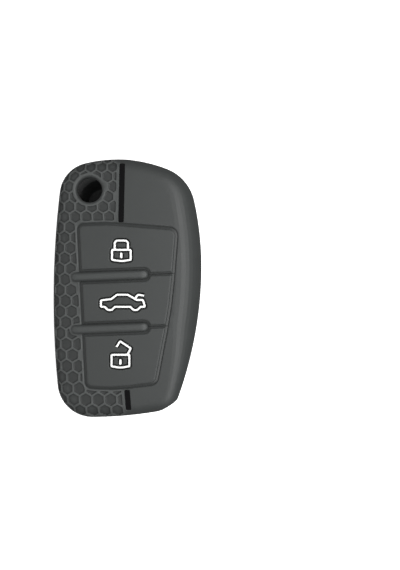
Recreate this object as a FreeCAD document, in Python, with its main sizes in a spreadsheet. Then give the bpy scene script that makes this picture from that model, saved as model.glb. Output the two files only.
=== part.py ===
import FreeCAD, Part
import math
import os

import Sketcher
from FreeCAD import Placement, Rotation, Vector

# Silicone cover for a folding car key: a hollow sleeve with rolled edges,
# three push buttons with white symbols, black stripes on both faces, a round hole for the
# key's release button, an oblong window in the back, a slot for the blade and a cut-off
# corner for the key ring. X points right and Y towards the round hole, as seen from the
# front; Z points out of the front. The flat back lies on Z = 0.

# Driving sizes in millimetres and degrees; a place near an end is worked out from that end
SIZES = {
    # Sleeve
    "overall_length": 76.0,
    "overall_width": 43.6,
    "overall_depth": 18.0,
    "wall": 2.0,
    "left_radius": 270.0,
    "left_peak": -3.0,
    "top_radius": 42.0,
    "top_peak": -2.5,
    "right_upper_radius": 92.0,
    "right_lower_radius": 113.0,
    "right_peak": 6.5,
    "bottom_radius": 115.0,
    "bottom_peak": -10.5,
    "corner_top_left": 10.0,
    "corner_top_right": 12.5,
    "corner_bottom_left": 10.5,
    "corner_bottom_right": 8.5,
    "edge_roll": 4.0,
    "front_right_roll": 7.0,
    "back_right_roll": 8.0,
    "pocket_bevel": 3.2,
    # Cut-off corner and its slot for the key ring
    "notch_x": 15.3,
    "notch_lift": 5.5,
    "notch_y": "=-overall_length / 2 + notch_lift",
    "notch_angle": 31.0,
    "notch_length": 8.4,
    "notch_fade_angle": 9.0,
    "notch_radius": 14.0,
    "ring_slot_length": 7.6,
    "ring_slot_height": 6.0,
    "ring_slot_corner": 1.2,
    # Slot for the blade, along the left side and round the top left corner
    "blade_slot_height": 9.0,
    "blade_slot_lift": 12.0,
    "blade_slot_bottom": "=-overall_length / 2 + blade_slot_lift",
    "blade_slot_right": -3.5,
    # Round hole in the front
    "hole_x": -10.5,
    "hole_drop": 9.7,
    "hole_y": "=overall_length / 2 - hole_drop",
    "hole_radius": 3.6,
    "hole_bevel": 0.6,
    # Oblong window in the back
    "window_x": -2.3,
    "window_drop": 13.0,
    "window_y": "=overall_length / 2 - window_drop",
    "window_length": 19.2,
    "window_height": 7.4,
    "window_bevel": 0.5,
    # Button panel, as the outline of its opening in the front
    "panel_top_left_x": -13.6,
    "panel_top_left_y": 18.3,
    "panel_top_bend_x": 3.0,
    "panel_top_bend_y": 18.9,
    "panel_top_right_x": 15.2,
    "panel_top_right_y": 16.6,
    "panel_right_bend_x": 13.3,
    "panel_right_bend_y": -5.0,
    "panel_bottom_right_x": 9.0,
    "panel_bottom_right_y": -27.6,
    "panel_bottom_bend_x": -4.0,
    "panel_bottom_bend_y": -29.3,
    "panel_bottom_left_x": -11.7,
    "panel_bottom_left_y": -28.6,
    "panel_corner": 1.8,
    "panel_right_corner": 2.5,
    "panel_bend": 42.0,
    "panel_side_bend": 140.0,
    # Raised bars between the buttons
    "bar_upper_y": 3.75,
    "bar_lower_y": -11.3,
    "bar_tilt": 2.2,
    "bar_left": -14.4,
    "bar_right": 5.2,
    "bar_width": 2.6,
    "bar_rise": 0.9,
    "bar_edge": 1.0,
    # Buttons and the thin webs that hold them
    "button_gap": 0.75,
    "button_slit": 0.7,
    "button_rise": 0.25,
    "web_thickness": 0.3,
    "web_rise": 0.55,
    "web_depth": 0.7,
    "web_clearance": 0.1,
    # Symbols on the buttons
    "symbol_stroke": 0.7,
    "symbol_moat": 0.3,
    "symbol_depth": 0.5,
    "symbol_rise": 0.06,
    "symbol_bend": 0.4,
    "lock_x": -1.2,
    "lock_y": 9.4,
    "unlock_x": -1.3,
    "unlock_y": -21.1,
    "lock_body_width": 5.35,
    "lock_body_top": 1.6,
    "lock_body_bottom": -1.25,
    "lock_body_belly": 0.42,
    "lock_belly_bend": 6.0,
    "shackle_width": 3.8,
    "shackle_height": 2.65,
    "shackle_bend": 0.9,
    "open_shackle_free_x": -1.1,
    "open_shackle_free_y": 4.2,
    "open_shackle_top_x": 0.0,
    "open_shackle_top_y": 5.75,
    "open_shackle_right_x": 3.0,
    "open_shackle_right_y": 3.8,
    "open_shackle_foot_x": 2.35,
    "keyhole_length": 1.0,
    "keyhole_width": 0.88,
    "car_x": -0.7,
    "car_y": -4.1,
    "car_nose_x": -6.35,
    "car_nose_y": 0.63,
    "car_screen_x": -3.35,
    "car_screen_y": 1.0,
    "car_roof_front_x": -1.75,
    "car_roof_back_x": 1.35,
    "car_roof_y": 2.25,
    "car_deck_x": 3.9,
    "car_deck_y": 0.75,
    "car_boot_x": 5.65,
    "car_tail_x": 6.3,
    "car_sill_y": -1.22,
    "car_front_wheel_x": -3.8,
    "car_rear_wheel_x": 3.55,
    "car_wheel_span": 2.9,
    "car_wheel_drop": 1.55,
    "car_wheel_bend": 1.3,
    "car_lid_start_x": 3.45,
    "car_lid_start_y": 1.2,
    "car_lid_bend_x": 4.25,
    "car_lid_bend_y": 2.3,
    "car_lid_end_x": 6.05,
    "car_lid_end_y": 1.95,
    "car_lid_bend": 0.9,
    # Stripes in both faces
    "stripe_width": 1.4,
    "stripe_corner": 0.3,
    "stripe_depth": 0.8,
    "stripe_thickness": 0.5,
    "stripe_clearance": 0.05,
    "front_stripe_top_x": -0.75,
    "front_stripe_top_drop": 2.4,
    "front_stripe_top_y": "=overall_length / 2 - front_stripe_top_drop",
    "front_stripe_panel_x": -1.35,
    "front_stripe_panel_y": 19.3,
    "front_stripe_low_x": 0.7,
    "front_stripe_low_y": -30.2,
    "front_stripe_end_x": 1.1,
    "front_stripe_end_lift": 3.0,
    "front_stripe_end_y": "=-overall_length / 2 + front_stripe_end_lift",
    "back_stripe_top_x": -2.4,
    "back_stripe_top_drop": 2.6,
    "back_stripe_top_y": "=overall_length / 2 - back_stripe_top_drop",
    "back_stripe_window_x": -2.4,
    "back_stripe_window_drop": 7.6,
    "back_stripe_window_y": "=overall_length / 2 - back_stripe_window_drop",
    "back_stripe_low_x": -2.3,
    "back_stripe_low_drop": 18.8,
    "back_stripe_low_y": "=overall_length / 2 - back_stripe_low_drop",
    "back_stripe_bend_x": -1.8,
    "back_stripe_bend_y": -6.0,
    "back_stripe_end_x": -0.3,
    "back_stripe_end_lift": 3.1,
    "back_stripe_end_y": "=-overall_length / 2 + back_stripe_end_lift",
    "back_stripe_bend": 300.0,
}

doc = FreeCAD.newDocument("key_fob_cover")
sheet = doc.addObject("Spreadsheet::Sheet", "Sizes")
for row, (alias, number) in enumerate(SIZES.items(), 1):
    sheet.set(f"A{row}", alias)
    sheet.set(f"B{row}", str(number))
    sheet.setAlias(f"B{row}", alias)
doc.recompute()


def value(expression):
    """The number that an expression on the sheet's sizes gives."""
    return float(sheet.evalExpression(expression))


def bound(kind, name, links=None, sizes=None):
    """A document object whose properties are linked to objects and bound to the sizes."""
    thing = doc.addObject(kind, name)
    for key, linked in (links or {}).items():
        setattr(thing, key, linked)
    for key, expression in (sizes or {}).items():
        thing.setExpression(key, expression)
    return thing


def cut(name, base, tool):
    """The base without the tool."""
    return bound("Part::Cut", name, {"Base": base, "Tool": tool})


def common(name, base, tool):
    """What the base and the tool share."""
    return bound("Part::Common", name, {"Base": base, "Tool": tool})


def fuse(name, shapes):
    """Several solids as one."""
    return bound("Part::MultiFuse", name, {"Shapes": shapes})


def extrude(name, base, low, height):
    """A solid prism that rises from the height low."""
    links = {"Base": base, "DirMode": "Custom", "Dir": Vector(0, 0, 1), "Solid": True}
    sizes = {"LengthFwd": height, "Placement.Base.z": low}
    return bound("Part::Extrusion", name, links, sizes)


def offset(name, base, distance):
    """A flat outline grown by a distance; an open line becomes a band with round ends."""
    return bound("Part::Offset2D", name, {"Source": base, "Mode": 1}, {"Value": distance})


def box(name, low, size, turn=None):
    """A box from its low corner and size, turned about Z by an angle when one is given."""
    sizes = dict(zip(("Length", "Width", "Height"), size))
    for axis, place in zip("xyz", low):
        sizes[f"Placement.Base.{axis}"] = place
    if turn:
        sizes["Placement.Rotation.Angle"] = turn
    return bound("Part::Box", name, {"Placement": Placement(Vector(), Rotation(Vector(0, 0, 1), 1))}, sizes)


# Sketch tools


def constrain(sketch, name, expression, *constraint):
    """Adds a named constraint to a sketch and binds it to an expression on the sizes."""
    index = sketch.addConstraint(Sketcher.Constraint(*constraint, value(expression)))
    sketch.renameConstraint(index, name)
    sketch.setExpression(f"Constraints.{name}", expression)


def flat_sketch(name):
    """A sketch on the XY plane."""
    return doc.addObject("Sketcher::SketchObject", name)


def corner_arc(before, corner, after, radius):
    """The tangent arc that rounds a corner: its two ends, its centre and whether it turns left."""
    inward = (corner - before).normalize()
    outward = (after - corner).normalize()
    turn = math.atan2(inward.cross(outward).z, inward.dot(outward))
    reach = radius * math.tan(abs(turn) / 2)
    start = corner - inward * reach
    side = math.copysign(radius, turn)
    centre = start + Vector(-inward.y, inward.x, 0) * side
    return start, corner + outward * reach, centre, turn > 0


def rounded_line(sketch, corners, closed=True):
    """Draws a line through corners, each an (x, y, radius) of expressions; no radius leaves it sharp."""
    points = [Vector(value(x), value(y), 0) for x, y, _ in corners]
    count = len(points)
    rounded = [radius if closed or 0 < k < count - 1 else None for k, (_, _, radius) in enumerate(corners)]
    arcs = {}
    for k, radius in enumerate(rounded):
        if radius:
            arcs[k] = corner_arc(points[k - 1], points[k], points[(k + 1) % count], value(radius))
    lines = []
    for k in range(count if closed else count - 1):
        after = (k + 1) % count
        start = arcs[k][1] if k in arcs else points[k]
        end = arcs[after][0] if after in arcs else points[after]
        lines.append(sketch.addGeometry(Part.LineSegment(start, end)))
    for k, (x, y, _) in enumerate(corners):
        line_in = lines[k - 1] if closed or k > 0 else None
        line_out = lines[k] if closed or k < count - 1 else None
        tag = f"point_{lines[0]}_{k}"
        if k in arcs:
            start, end, centre, left = arcs[k]
            first, last = (start, end) if left else (end, start)
            angles = [math.atan2(p.y - centre.y, p.x - centre.x) for p in (first, last)]
            circle = Part.Circle(centre, Vector(0, 0, 1), value(rounded[k]))
            arc = sketch.addGeometry(Part.ArcOfCircle(circle, angles[0], angles[1]))
            sketch.addConstraint(Sketcher.Constraint("Tangent", line_in, 2, arc, 1 if left else 2))
            sketch.addConstraint(Sketcher.Constraint("Tangent", arc, 2 if left else 1, line_out, 1))
            constrain(sketch, f"{tag}_radius", rounded[k], "Radius", arc)
            held = sketch.addGeometry(Part.Point(points[k]), True)
            sketch.addConstraint(Sketcher.Constraint("PointOnObject", held, 1, line_in))
            sketch.addConstraint(Sketcher.Constraint("PointOnObject", held, 1, line_out))
            end_point = (held, 1)
        else:
            end_point = (line_out, 1) if line_out is not None else (line_in, 2)
            if line_in is not None and line_out is not None:
                sketch.addConstraint(Sketcher.Constraint("Coincident", line_in, 2, line_out, 1))
        constrain(sketch, f"{tag}_x", x, "DistanceX", -1, 1, *end_point)
        constrain(sketch, f"{tag}_y", y, "DistanceY", -1, 1, *end_point)
    return sketch


def slot_line(sketch, start, end, half):
    """Draws an oblong round two end centres, each an (x, y) of expressions."""
    centres = [Vector(value(x), value(y), 0) for x, y in (start, end)]
    along = (centres[1] - centres[0]).normalize()
    side = Vector(-along.y, along.x, 0) * value(half)
    heading = math.atan2(along.y, along.x)
    lines, arcs = [], []
    for first, last, sign in ((0, 1, -1), (1, 0, 1)):
        segment = Part.LineSegment(centres[first] + side * sign, centres[last] + side * sign)
        lines.append(sketch.addGeometry(segment))
        circle = Part.Circle(centres[last], Vector(0, 0, 1), value(half))
        begin = heading + sign * math.pi / 2
        arcs.append(sketch.addGeometry(Part.ArcOfCircle(circle, begin, begin + math.pi)))
    for k in (0, 1):
        sketch.addConstraint(Sketcher.Constraint("Tangent", lines[k], 2, arcs[k], 1))
        sketch.addConstraint(Sketcher.Constraint("Tangent", arcs[k], 2, lines[1 - k], 1))
    sketch.addConstraint(Sketcher.Constraint("Equal", arcs[0], arcs[1]))
    constrain(sketch, "half_width", half, "Radius", arcs[0])
    for tag, arc, (x, y) in (("end", arcs[0], end), ("start", arcs[1], start)):
        constrain(sketch, f"{tag}_x", x, "DistanceX", -1, 1, arc, 3)
        constrain(sketch, f"{tag}_y", y, "DistanceY", -1, 1, arc, 3)
    return sketch


# Sleeve outline: four bowed sides joined by round corners

WIDE, LONG = "Sizes.overall_width / 2", "Sizes.overall_length / 2"
SIDES = [
    ("right_upper", f"{WIDE} - Sizes.right_upper_radius", "Sizes.right_peak"),
    ("top", "Sizes.top_peak", f"{LONG} - Sizes.top_radius"),
    ("left", f"Sizes.left_radius - {WIDE}", "Sizes.left_peak"),
    ("bottom", "Sizes.bottom_peak", f"Sizes.bottom_radius - {LONG}"),
    ("right_lower", f"{WIDE} - Sizes.right_lower_radius", "Sizes.right_peak"),
]
CORNERS = [("top_right", 1, 1), ("top_left", -1, 1), ("bottom_left", -1, -1), ("bottom_right", 1, -1)]


def corner_centre(first, second, reach_first, reach_second, toward):
    """The centre of the circle that touches two side circles from inside, on the given side."""
    apart = second - first
    along = (reach_first**2 - reach_second**2 + apart.Length**2) / (2 * apart.Length)
    across = math.sqrt(reach_first**2 - along**2)
    axis = Vector(apart).normalize()
    normal = Vector(-axis.y, axis.x, 0)
    choices = [first + axis * along + normal * across * sign for sign in (1, -1)]
    return max(choices, key=lambda point: point.dot(toward))


def angle_to(start, end):
    """The direction from one point to another, from 0 to a full turn."""
    return math.atan2(end.y - start.y, end.x - start.x) % (2 * math.pi)


def sleeve_outline(sketch, inset):
    """Draws the sleeve's outline, drawn in by an inset, as a chain of tangent arcs."""
    centres = [Vector(value(x), value(y), 0) for _, x, y in SIDES]
    radii = [f"Sizes.{side}_radius - {inset}" for side, _, _ in SIDES]
    bends = [f"Sizes.corner_{corner} - {inset}" for corner, _, _ in CORNERS]
    middles = []
    for k, (_, right, up) in enumerate(CORNERS):
        reaches = [value(radii[k + side]) - value(bends[k]) for side in (0, 1)]
        middles.append(corner_centre(centres[k], centres[k + 1], *reaches, Vector(right, up, 0)))
    chain = []
    for k, centre in enumerate(centres):
        start = angle_to(centre, middles[k - 1]) if k > 0 else 0
        end = angle_to(centre, middles[k]) if k < len(middles) else 2 * math.pi
        chain.append((centre, radii[k], start, end))
        if k < len(middles):
            chain.append((middles[k], bends[k], end, angle_to(centres[k + 1], middles[k])))
    arcs = []
    for centre, radius, start, end in chain:
        circle = Part.Circle(centre, Vector(0, 0, 1), value(radius))
        arcs.append(sketch.addGeometry(Part.ArcOfCircle(circle, start, end)))
        constrain(sketch, f"radius_{len(arcs)}", radius, "Radius", arcs[-1])
    for before, after in zip(arcs, arcs[1:]):
        sketch.addConstraint(Sketcher.Constraint("Tangent", before, 2, after, 1))
    for arc, (side, x, y) in zip(arcs[::2], SIDES):
        constrain(sketch, f"{side}_x", x, "DistanceX", -1, 1, arc, 3)
        constrain(sketch, f"{side}_y", y, "DistanceY", -1, 1, arc, 3)
    constrain(sketch, "peak_start", "Sizes.right_peak", "DistanceY", -1, 1, arcs[0], 1)
    constrain(sketch, "peak_end", "Sizes.right_peak", "DistanceY", -1, 1, arcs[-1], 2)
    return sketch


def on_right_side(point):
    """Whether a point lies on the sleeve's right side."""
    for side, x, y in (SIDES[0], SIDES[-1]):
        reach = math.hypot(point.x - value(x), point.y - value(y))
        if abs(reach - value(f"Sizes.{side}_radius")) < 1e-6:
            return True
    return False


def cover_roll(point, face):
    """The rounding of the cover's edge, which is wider on the right side."""
    return value(f"Sizes.{face}_right_roll" if on_right_side(point) else "Sizes.edge_roll")


def pocket_bevel(point, face):
    """The bevel of the pocket's edge, the same all round."""
    return value("Sizes.pocket_bevel")


def sleeve_block(name, inset):
    """The sleeve's outline padded to a block, drawn in by an inset on every side."""
    body = doc.addObject("PartDesign::Body", name)
    sketch = body.newObject("Sketcher::SketchObject", f"{name}_outline")
    plane = next(f for f in body.Origin.OriginFeatures if f.Role == "XY_Plane")
    sketch.AttachmentSupport = [(plane, "")]
    sketch.MapMode = "FlatFace"
    sketch.setExpression("AttachmentOffset.Base.z", inset)
    sleeve_outline(sketch, inset)
    pad = body.newObject("PartDesign::Pad", f"{name}_pad")
    pad.Profile = sketch
    pad.setExpression("Length", f"Sizes.overall_depth - 2 * ({inset})")
    doc.recompute()
    return body


def ease_edges(kind, name, block, ease):
    """Rounds or bevels a block's front and back edges by as much as a rule gives for each end."""
    faces = {"front": block.Shape.BoundBox.ZMax, "back": block.Shape.BoundBox.ZMin}
    edges = []
    for index, edge in enumerate(block.Shape.Edges, 1):
        ends = [edge.valueAt(edge.FirstParameter), edge.valueAt(edge.LastParameter)]
        for face, level in faces.items():
            if all(abs(end.z - level) < 1e-6 for end in ends):
                edges.append((index, *[ease(end, face) for end in ends]))
    return bound(kind, name, {"Base": block, "Edges": edges})


cover_block = ease_edges("Part::Fillet", "cover_block", sleeve_block("cover_body", "0"), cover_roll)
pocket_body = sleeve_block("pocket_body", "Sizes.wall")
key_pocket = ease_edges("Part::Chamfer", "key_pocket", pocket_body, pocket_bevel)

FRONT = "Sizes.overall_depth"
FRONT_INSIDE = "(Sizes.overall_depth - Sizes.wall)"
MIDDLE = "Sizes.overall_depth / 2"
# How far the cutting tools reach past the sleeve
PAST = "Sizes.overall_width"

# Cut-off corner, which fades into the bottom edge, and the slot through it

DIAGONAL = ("cos(Sizes.notch_angle * 1deg)", "sin(Sizes.notch_angle * 1deg)")
FADE = ("cos(Sizes.notch_fade_angle * 1deg)", "sin(Sizes.notch_fade_angle * 1deg)")
NOTCH_END = (
    f"Sizes.notch_x - Sizes.notch_length * {DIAGONAL[0]}",
    f"Sizes.notch_y - Sizes.notch_length * {DIAGONAL[1]}",
)
notch_corners = [
    (f"Sizes.notch_x + {PAST} * {DIAGONAL[0]}", f"Sizes.notch_y + {PAST} * {DIAGONAL[1]}", None),
    (*NOTCH_END, "Sizes.notch_radius"),
    (f"{NOTCH_END[0]} - {PAST} * {FADE[0]}", f"{NOTCH_END[1]} - {PAST} * {FADE[1]}", None),
    (f"Sizes.notch_x + {PAST} * {DIAGONAL[0]}", "-Sizes.overall_length", None),
]
notch_sketch = rounded_line(flat_sketch("notch_outline"), notch_corners)
notch = extrude("notch", notch_sketch, "-Sizes.wall", "Sizes.overall_depth + 2 * Sizes.wall")

ring_slot_place = (
    f"Sizes.notch_x - Sizes.ring_slot_length * {DIAGONAL[0]}",
    f"Sizes.notch_y - Sizes.ring_slot_length * {DIAGONAL[1]} - Sizes.wall",
    f"{MIDDLE} - Sizes.ring_slot_height / 2",
)
ring_slot_size = ("Sizes.ring_slot_length", "4 * Sizes.wall", "Sizes.ring_slot_height")
ring_slot_block = box("ring_slot_block", ring_slot_place, ring_slot_size, "Sizes.notch_angle")
doc.recompute()
ring_slot_edges = []
for index, edge in enumerate(ring_slot_block.Shape.Edges, 1):
    run = edge.Vertexes[-1].Point - edge.Vertexes[0].Point
    if abs(run.z) < 1e-6 and abs(run.dot(Vector(*[value(part) for part in DIAGONAL], 0))) < 1e-6:
        ring_slot_edges.append((index, value("Sizes.ring_slot_corner"), value("Sizes.ring_slot_corner")))
ring_slot = bound("Part::Fillet", "ring_slot", {"Base": ring_slot_block, "Edges": ring_slot_edges})

# Slot for the blade: along the left side, round the top left corner and along the top

SLOT_LOW = f"{MIDDLE} - Sizes.blade_slot_height / 2"
SLOT_REACH = "(Sizes.corner_top_left + Sizes.wall)"


def slot_end(name, x, y, turn):
    """The round end of the blade slot, a cylinder laid through the wall."""
    laid = Placement(Vector(), turn)
    sizes = {"Radius": "Sizes.blade_slot_height / 2", "Height": f"2 * {SLOT_REACH}"}
    sizes.update({"Placement.Base.x": x, "Placement.Base.y": y, "Placement.Base.z": MIDDLE})
    return bound("Part::Cylinder", name, {"Placement": laid}, sizes)


slot_bottom = "Sizes.blade_slot_bottom + Sizes.blade_slot_height / 2"
slot_right = "Sizes.blade_slot_right - Sizes.blade_slot_height / 2"
slot_side = box(
    "slot_side",
    (f"-{WIDE} - {SLOT_REACH}", slot_bottom, SLOT_LOW),
    (f"2 * {SLOT_REACH}", "Sizes.overall_length", "Sizes.blade_slot_height"),
)
slot_top = box(
    "slot_top",
    (f"-{WIDE} - {SLOT_REACH}", f"{LONG} - {SLOT_REACH}", SLOT_LOW),
    (f"{WIDE} + {SLOT_REACH} + ({slot_right})", f"2 * {SLOT_REACH}", "Sizes.blade_slot_height"),
)
across, along = Rotation(Vector(0, 1, 0), 90), Rotation(Vector(1, 0, 0), 90)
slot_side_end = slot_end("slot_side_end", f"-{WIDE} - {SLOT_REACH}", slot_bottom, across)
slot_top_end = slot_end("slot_top_end", slot_right, f"{LONG} + {SLOT_REACH}", along)
blade_slot = fuse("blade_slot", [slot_side, slot_top, slot_side_end, slot_top_end])

# Round hole with its bevelled rim

hole_place = {"Placement.Base.x": "Sizes.hole_x", "Placement.Base.y": "Sizes.hole_y"}
hole_bore = bound(
    "Part::Cylinder",
    "hole_bore",
    sizes={
        "Radius": "Sizes.hole_radius",
        "Height": "3 * Sizes.wall",
        "Placement.Base.z": f"{FRONT} - 2 * Sizes.wall",
        **hole_place,
    },
)
hole_rim = bound(
    "Part::Cone",
    "hole_rim",
    sizes={
        "Radius1": "Sizes.hole_radius",
        "Radius2": "Sizes.hole_radius + 2 * Sizes.hole_bevel",
        "Height": "2 * Sizes.hole_bevel",
        "Placement.Base.z": f"{FRONT} - Sizes.hole_bevel",
        **hole_place,
    },
)


# Oblong window with its bevelled rim

WINDOW_HALF = "(Sizes.window_length - Sizes.window_height) / 2"
window_ends = [(f"Sizes.window_x + {side} * {WINDOW_HALF}", "Sizes.window_y") for side in (-1, 1)]
window_line = slot_line(flat_sketch("window_line"), *window_ends, "Sizes.window_height / 2")
window_bore = extrude("window_bore", window_line, "-Sizes.wall", "3 * Sizes.wall")
window_rim_line = offset("window_rim_line", window_line, "2 * Sizes.window_bevel")
window_rim = extrude("window_rim", window_rim_line, "-Sizes.window_bevel", "2 * Sizes.window_bevel")
window_rim.TaperAngle = -45

# Button panel and the raised bars that part it

BARS = ("upper", "lower")
TILT = "(Sizes.bar_tilt * 1deg)"


def on_bar_axis(bar, x):
    """The point on a bar's axis at a place across the cover."""
    return x, f"Sizes.bar_{bar}_y + ({x}) * tan({TILT})"


panel_line = rounded_line(
    flat_sketch("panel_line"),
    [
        ("Sizes.panel_top_left_x", "Sizes.panel_top_left_y", "Sizes.panel_corner"),
        ("Sizes.panel_bottom_left_x", "Sizes.panel_bottom_left_y", "Sizes.panel_corner"),
        ("Sizes.panel_bottom_bend_x", "Sizes.panel_bottom_bend_y", "Sizes.panel_bend"),
        ("Sizes.panel_bottom_right_x", "Sizes.panel_bottom_right_y", "Sizes.panel_right_corner"),
        ("Sizes.panel_right_bend_x", "Sizes.panel_right_bend_y", "Sizes.panel_side_bend"),
        ("Sizes.panel_top_right_x", "Sizes.panel_top_right_y", "Sizes.panel_right_corner"),
        ("Sizes.panel_top_bend_x", "Sizes.panel_top_bend_y", "Sizes.panel_bend"),
    ],
)
bar_lines = {}
for bar in BARS:
    ends = [on_bar_axis(bar, f"Sizes.bar_{side}") for side in ("left", "right")]
    bar_lines[bar] = slot_line(flat_sketch(f"{bar}_bar_line"), *ends, "Sizes.bar_width / 2")


def bar_prisms(name, grow, low, height):
    """Both bars as prisms, grown by a distance on every side."""
    prisms = []
    for bar, line in bar_lines.items():
        grown = offset(f"{bar}_{name}_line", line, grow) if grow else line
        prisms.append(extrude(f"{bar}_{name}", grown, low, height))
    return fuse(name, prisms)


bar_roots = bar_prisms("bar_roots", None, f"{FRONT} - 2 * Sizes.wall", "4 * Sizes.wall")
bar_ridges = bar_prisms("bar_ridges", None, FRONT_INSIDE, "Sizes.wall + Sizes.bar_rise")
panel_prism = extrude("panel_prism", panel_line, f"{FRONT} - 2 * Sizes.wall", "4 * Sizes.wall")
panel_opening = cut("panel_opening", panel_prism, bar_roots)

doc.recompute()
ridge_tops = []
for index, edge in enumerate(bar_ridges.Shape.Edges, 1):
    if all(abs(vertex.Z - bar_ridges.Shape.BoundBox.ZMax) < 1e-6 for vertex in edge.Vertexes):
        ridge_tops.append((index, value("Sizes.bar_edge"), value("Sizes.bar_edge")))
bars = bound("Part::Fillet", "bars", {"Base": bar_ridges, "Edges": ridge_tops})

# Buttons: the panel's three fields between the bars, each on a thin web

FIELDS = {
    "lock": ("Sizes.bar_upper_y", f"Sizes.bar_upper_y + {LONG}"),
    "boot": ("Sizes.bar_lower_y", "Sizes.bar_upper_y"),
    "unlock": (f"Sizes.bar_lower_y - {LONG}", "Sizes.bar_lower_y"),
}


def field(name, button, inset):
    """The tilted block that bounds one button between the axes of the bars, drawn in by an inset."""
    low, high = FIELDS[button]
    corner = (f"-{PAST}", f"{low} + ({inset}) / cos({TILT}) - {PAST} * tan({TILT})", "0")
    across = f"(({high}) - ({low})) * cos({TILT}) - 2 * ({inset})"
    return box(name, corner, (f"2 * {PAST}", across, "2 * Sizes.overall_depth"), "Sizes.bar_tilt")


PAD_LOW = FRONT_INSIDE
PAD_HEIGHT = "Sizes.wall + Sizes.button_rise"
PAD_TOP = f"({FRONT} + Sizes.button_rise)"
web_line = offset("web_line", panel_line, "-Sizes.web_clearance")
web_panel = bound("Part::Face", "web_panel", {"Sources": [web_line]})
web_bar_room = bar_prisms("web_bar_room", "Sizes.web_clearance", "-Sizes.wall", f"{FRONT} + 2 * Sizes.wall")


def pad_block(name, button, gap, slit, low, height):
    """A button's field as a prism that stands a gap off the panel's edge and the bars."""
    slab = extrude(f"{name}_slab", offset(f"{name}_line", panel_line, f"-({gap})"), low, height)
    part_of_panel = common(f"{name}_field", slab, field(f"{name}_bounds", button, slit))
    room = bar_prisms(f"{name}_bar_room", gap, f"{FRONT} - 2 * Sizes.wall", "4 * Sizes.wall")
    return cut(name, part_of_panel, room)


def web(button):
    """The thin sloping ring between a button and its opening."""
    name = f"{button}_button_web"
    whole = common(f"{name}_field", web_panel, field(f"{name}_bounds", button, "Sizes.web_clearance / 2"))
    face = cut(f"{name}_face", whole, web_bar_room)
    run = "(Sizes.button_gap - 2 * Sizes.web_clearance)"
    low = f"{FRONT} - Sizes.web_depth"
    top = extrude(f"{name}_top", face, low, "Sizes.web_rise")
    under = extrude(f"{name}_under", face, f"{low} - Sizes.web_thickness", "Sizes.web_rise")
    for slope in (top, under):
        slope.setExpression("TaperAngle", f"-atan({run} / Sizes.web_rise)")
    foot = extrude(f"{name}_foot", face, f"{low} - Sizes.web_thickness", "Sizes.web_thickness")
    sheet_of_rubber = cut(f"{name}_sheet", fuse(f"{name}_block", [top, foot]), under)
    clear = "Sizes.button_gap - Sizes.web_clearance"
    slit = "Sizes.button_slit / 2 - Sizes.web_clearance"
    room = pad_block(f"{name}_room", button, clear, slit, f"{FRONT} - 2 * Sizes.wall", "4 * Sizes.wall")
    return cut(name, sheet_of_rubber, room)


pads = {}
webs = {}
for button in FIELDS:
    gap, slit = "Sizes.button_gap", "Sizes.button_slit / 2"
    pads[button] = pad_block(f"{button}_pad_block", button, gap, slit, PAD_LOW, PAD_HEIGHT)
    webs[button] = web(button)


# Symbols: white strokes, each seated in a pocket that is a little wider


def on_symbol(symbol, x, y):
    """A place given from a symbol's own centre."""
    return f"Sizes.{symbol}_x + {x}", f"Sizes.{symbol}_y + {y}"


def padlock_body(symbol):
    """The centre line of a padlock's body, with a bowed lower edge."""
    half = "Sizes.lock_body_width / 2"
    low = "Sizes.lock_body_bottom"
    corners = [
        (*on_symbol(symbol, f"-{half}", "Sizes.lock_body_top"), "Sizes.symbol_bend"),
        (*on_symbol(symbol, f"-{half}", low), "Sizes.symbol_bend"),
        (*on_symbol(symbol, "0", f"{low} - Sizes.lock_body_belly"), "Sizes.lock_belly_bend"),
        (*on_symbol(symbol, half, low), "Sizes.symbol_bend"),
        (*on_symbol(symbol, half, "Sizes.lock_body_top"), "Sizes.symbol_bend"),
    ]
    return rounded_line(flat_sketch(f"{symbol}_body_line"), corners)


def closed_shackle():
    """The centre line of the shut padlock's shackle, closed along the top of the body."""
    half = "Sizes.shackle_width / 2"
    top = "Sizes.lock_body_top + Sizes.shackle_height"
    corners = [
        (*on_symbol("lock", half, "Sizes.lock_body_top"), None),
        (*on_symbol("lock", half, top), "Sizes.shackle_bend"),
        (*on_symbol("lock", f"-{half}", top), "Sizes.shackle_bend"),
        (*on_symbol("lock", f"-{half}", "Sizes.lock_body_top"), None),
    ]
    return rounded_line(flat_sketch("shackle_line"), corners)


def open_shackle():
    """The centre line of the open padlock's swung shackle."""
    corners = []
    for place in ("free", "top", "right"):
        point = (f"Sizes.open_shackle_{place}_x", f"Sizes.open_shackle_{place}_y")
        corners.append((*on_symbol("unlock", *point), "Sizes.symbol_bend"))
    foot = on_symbol("unlock", "Sizes.open_shackle_foot_x", "Sizes.lock_body_top")
    return rounded_line(flat_sketch("open_shackle_line"), corners + [(*foot, None)], closed=False)


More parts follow.
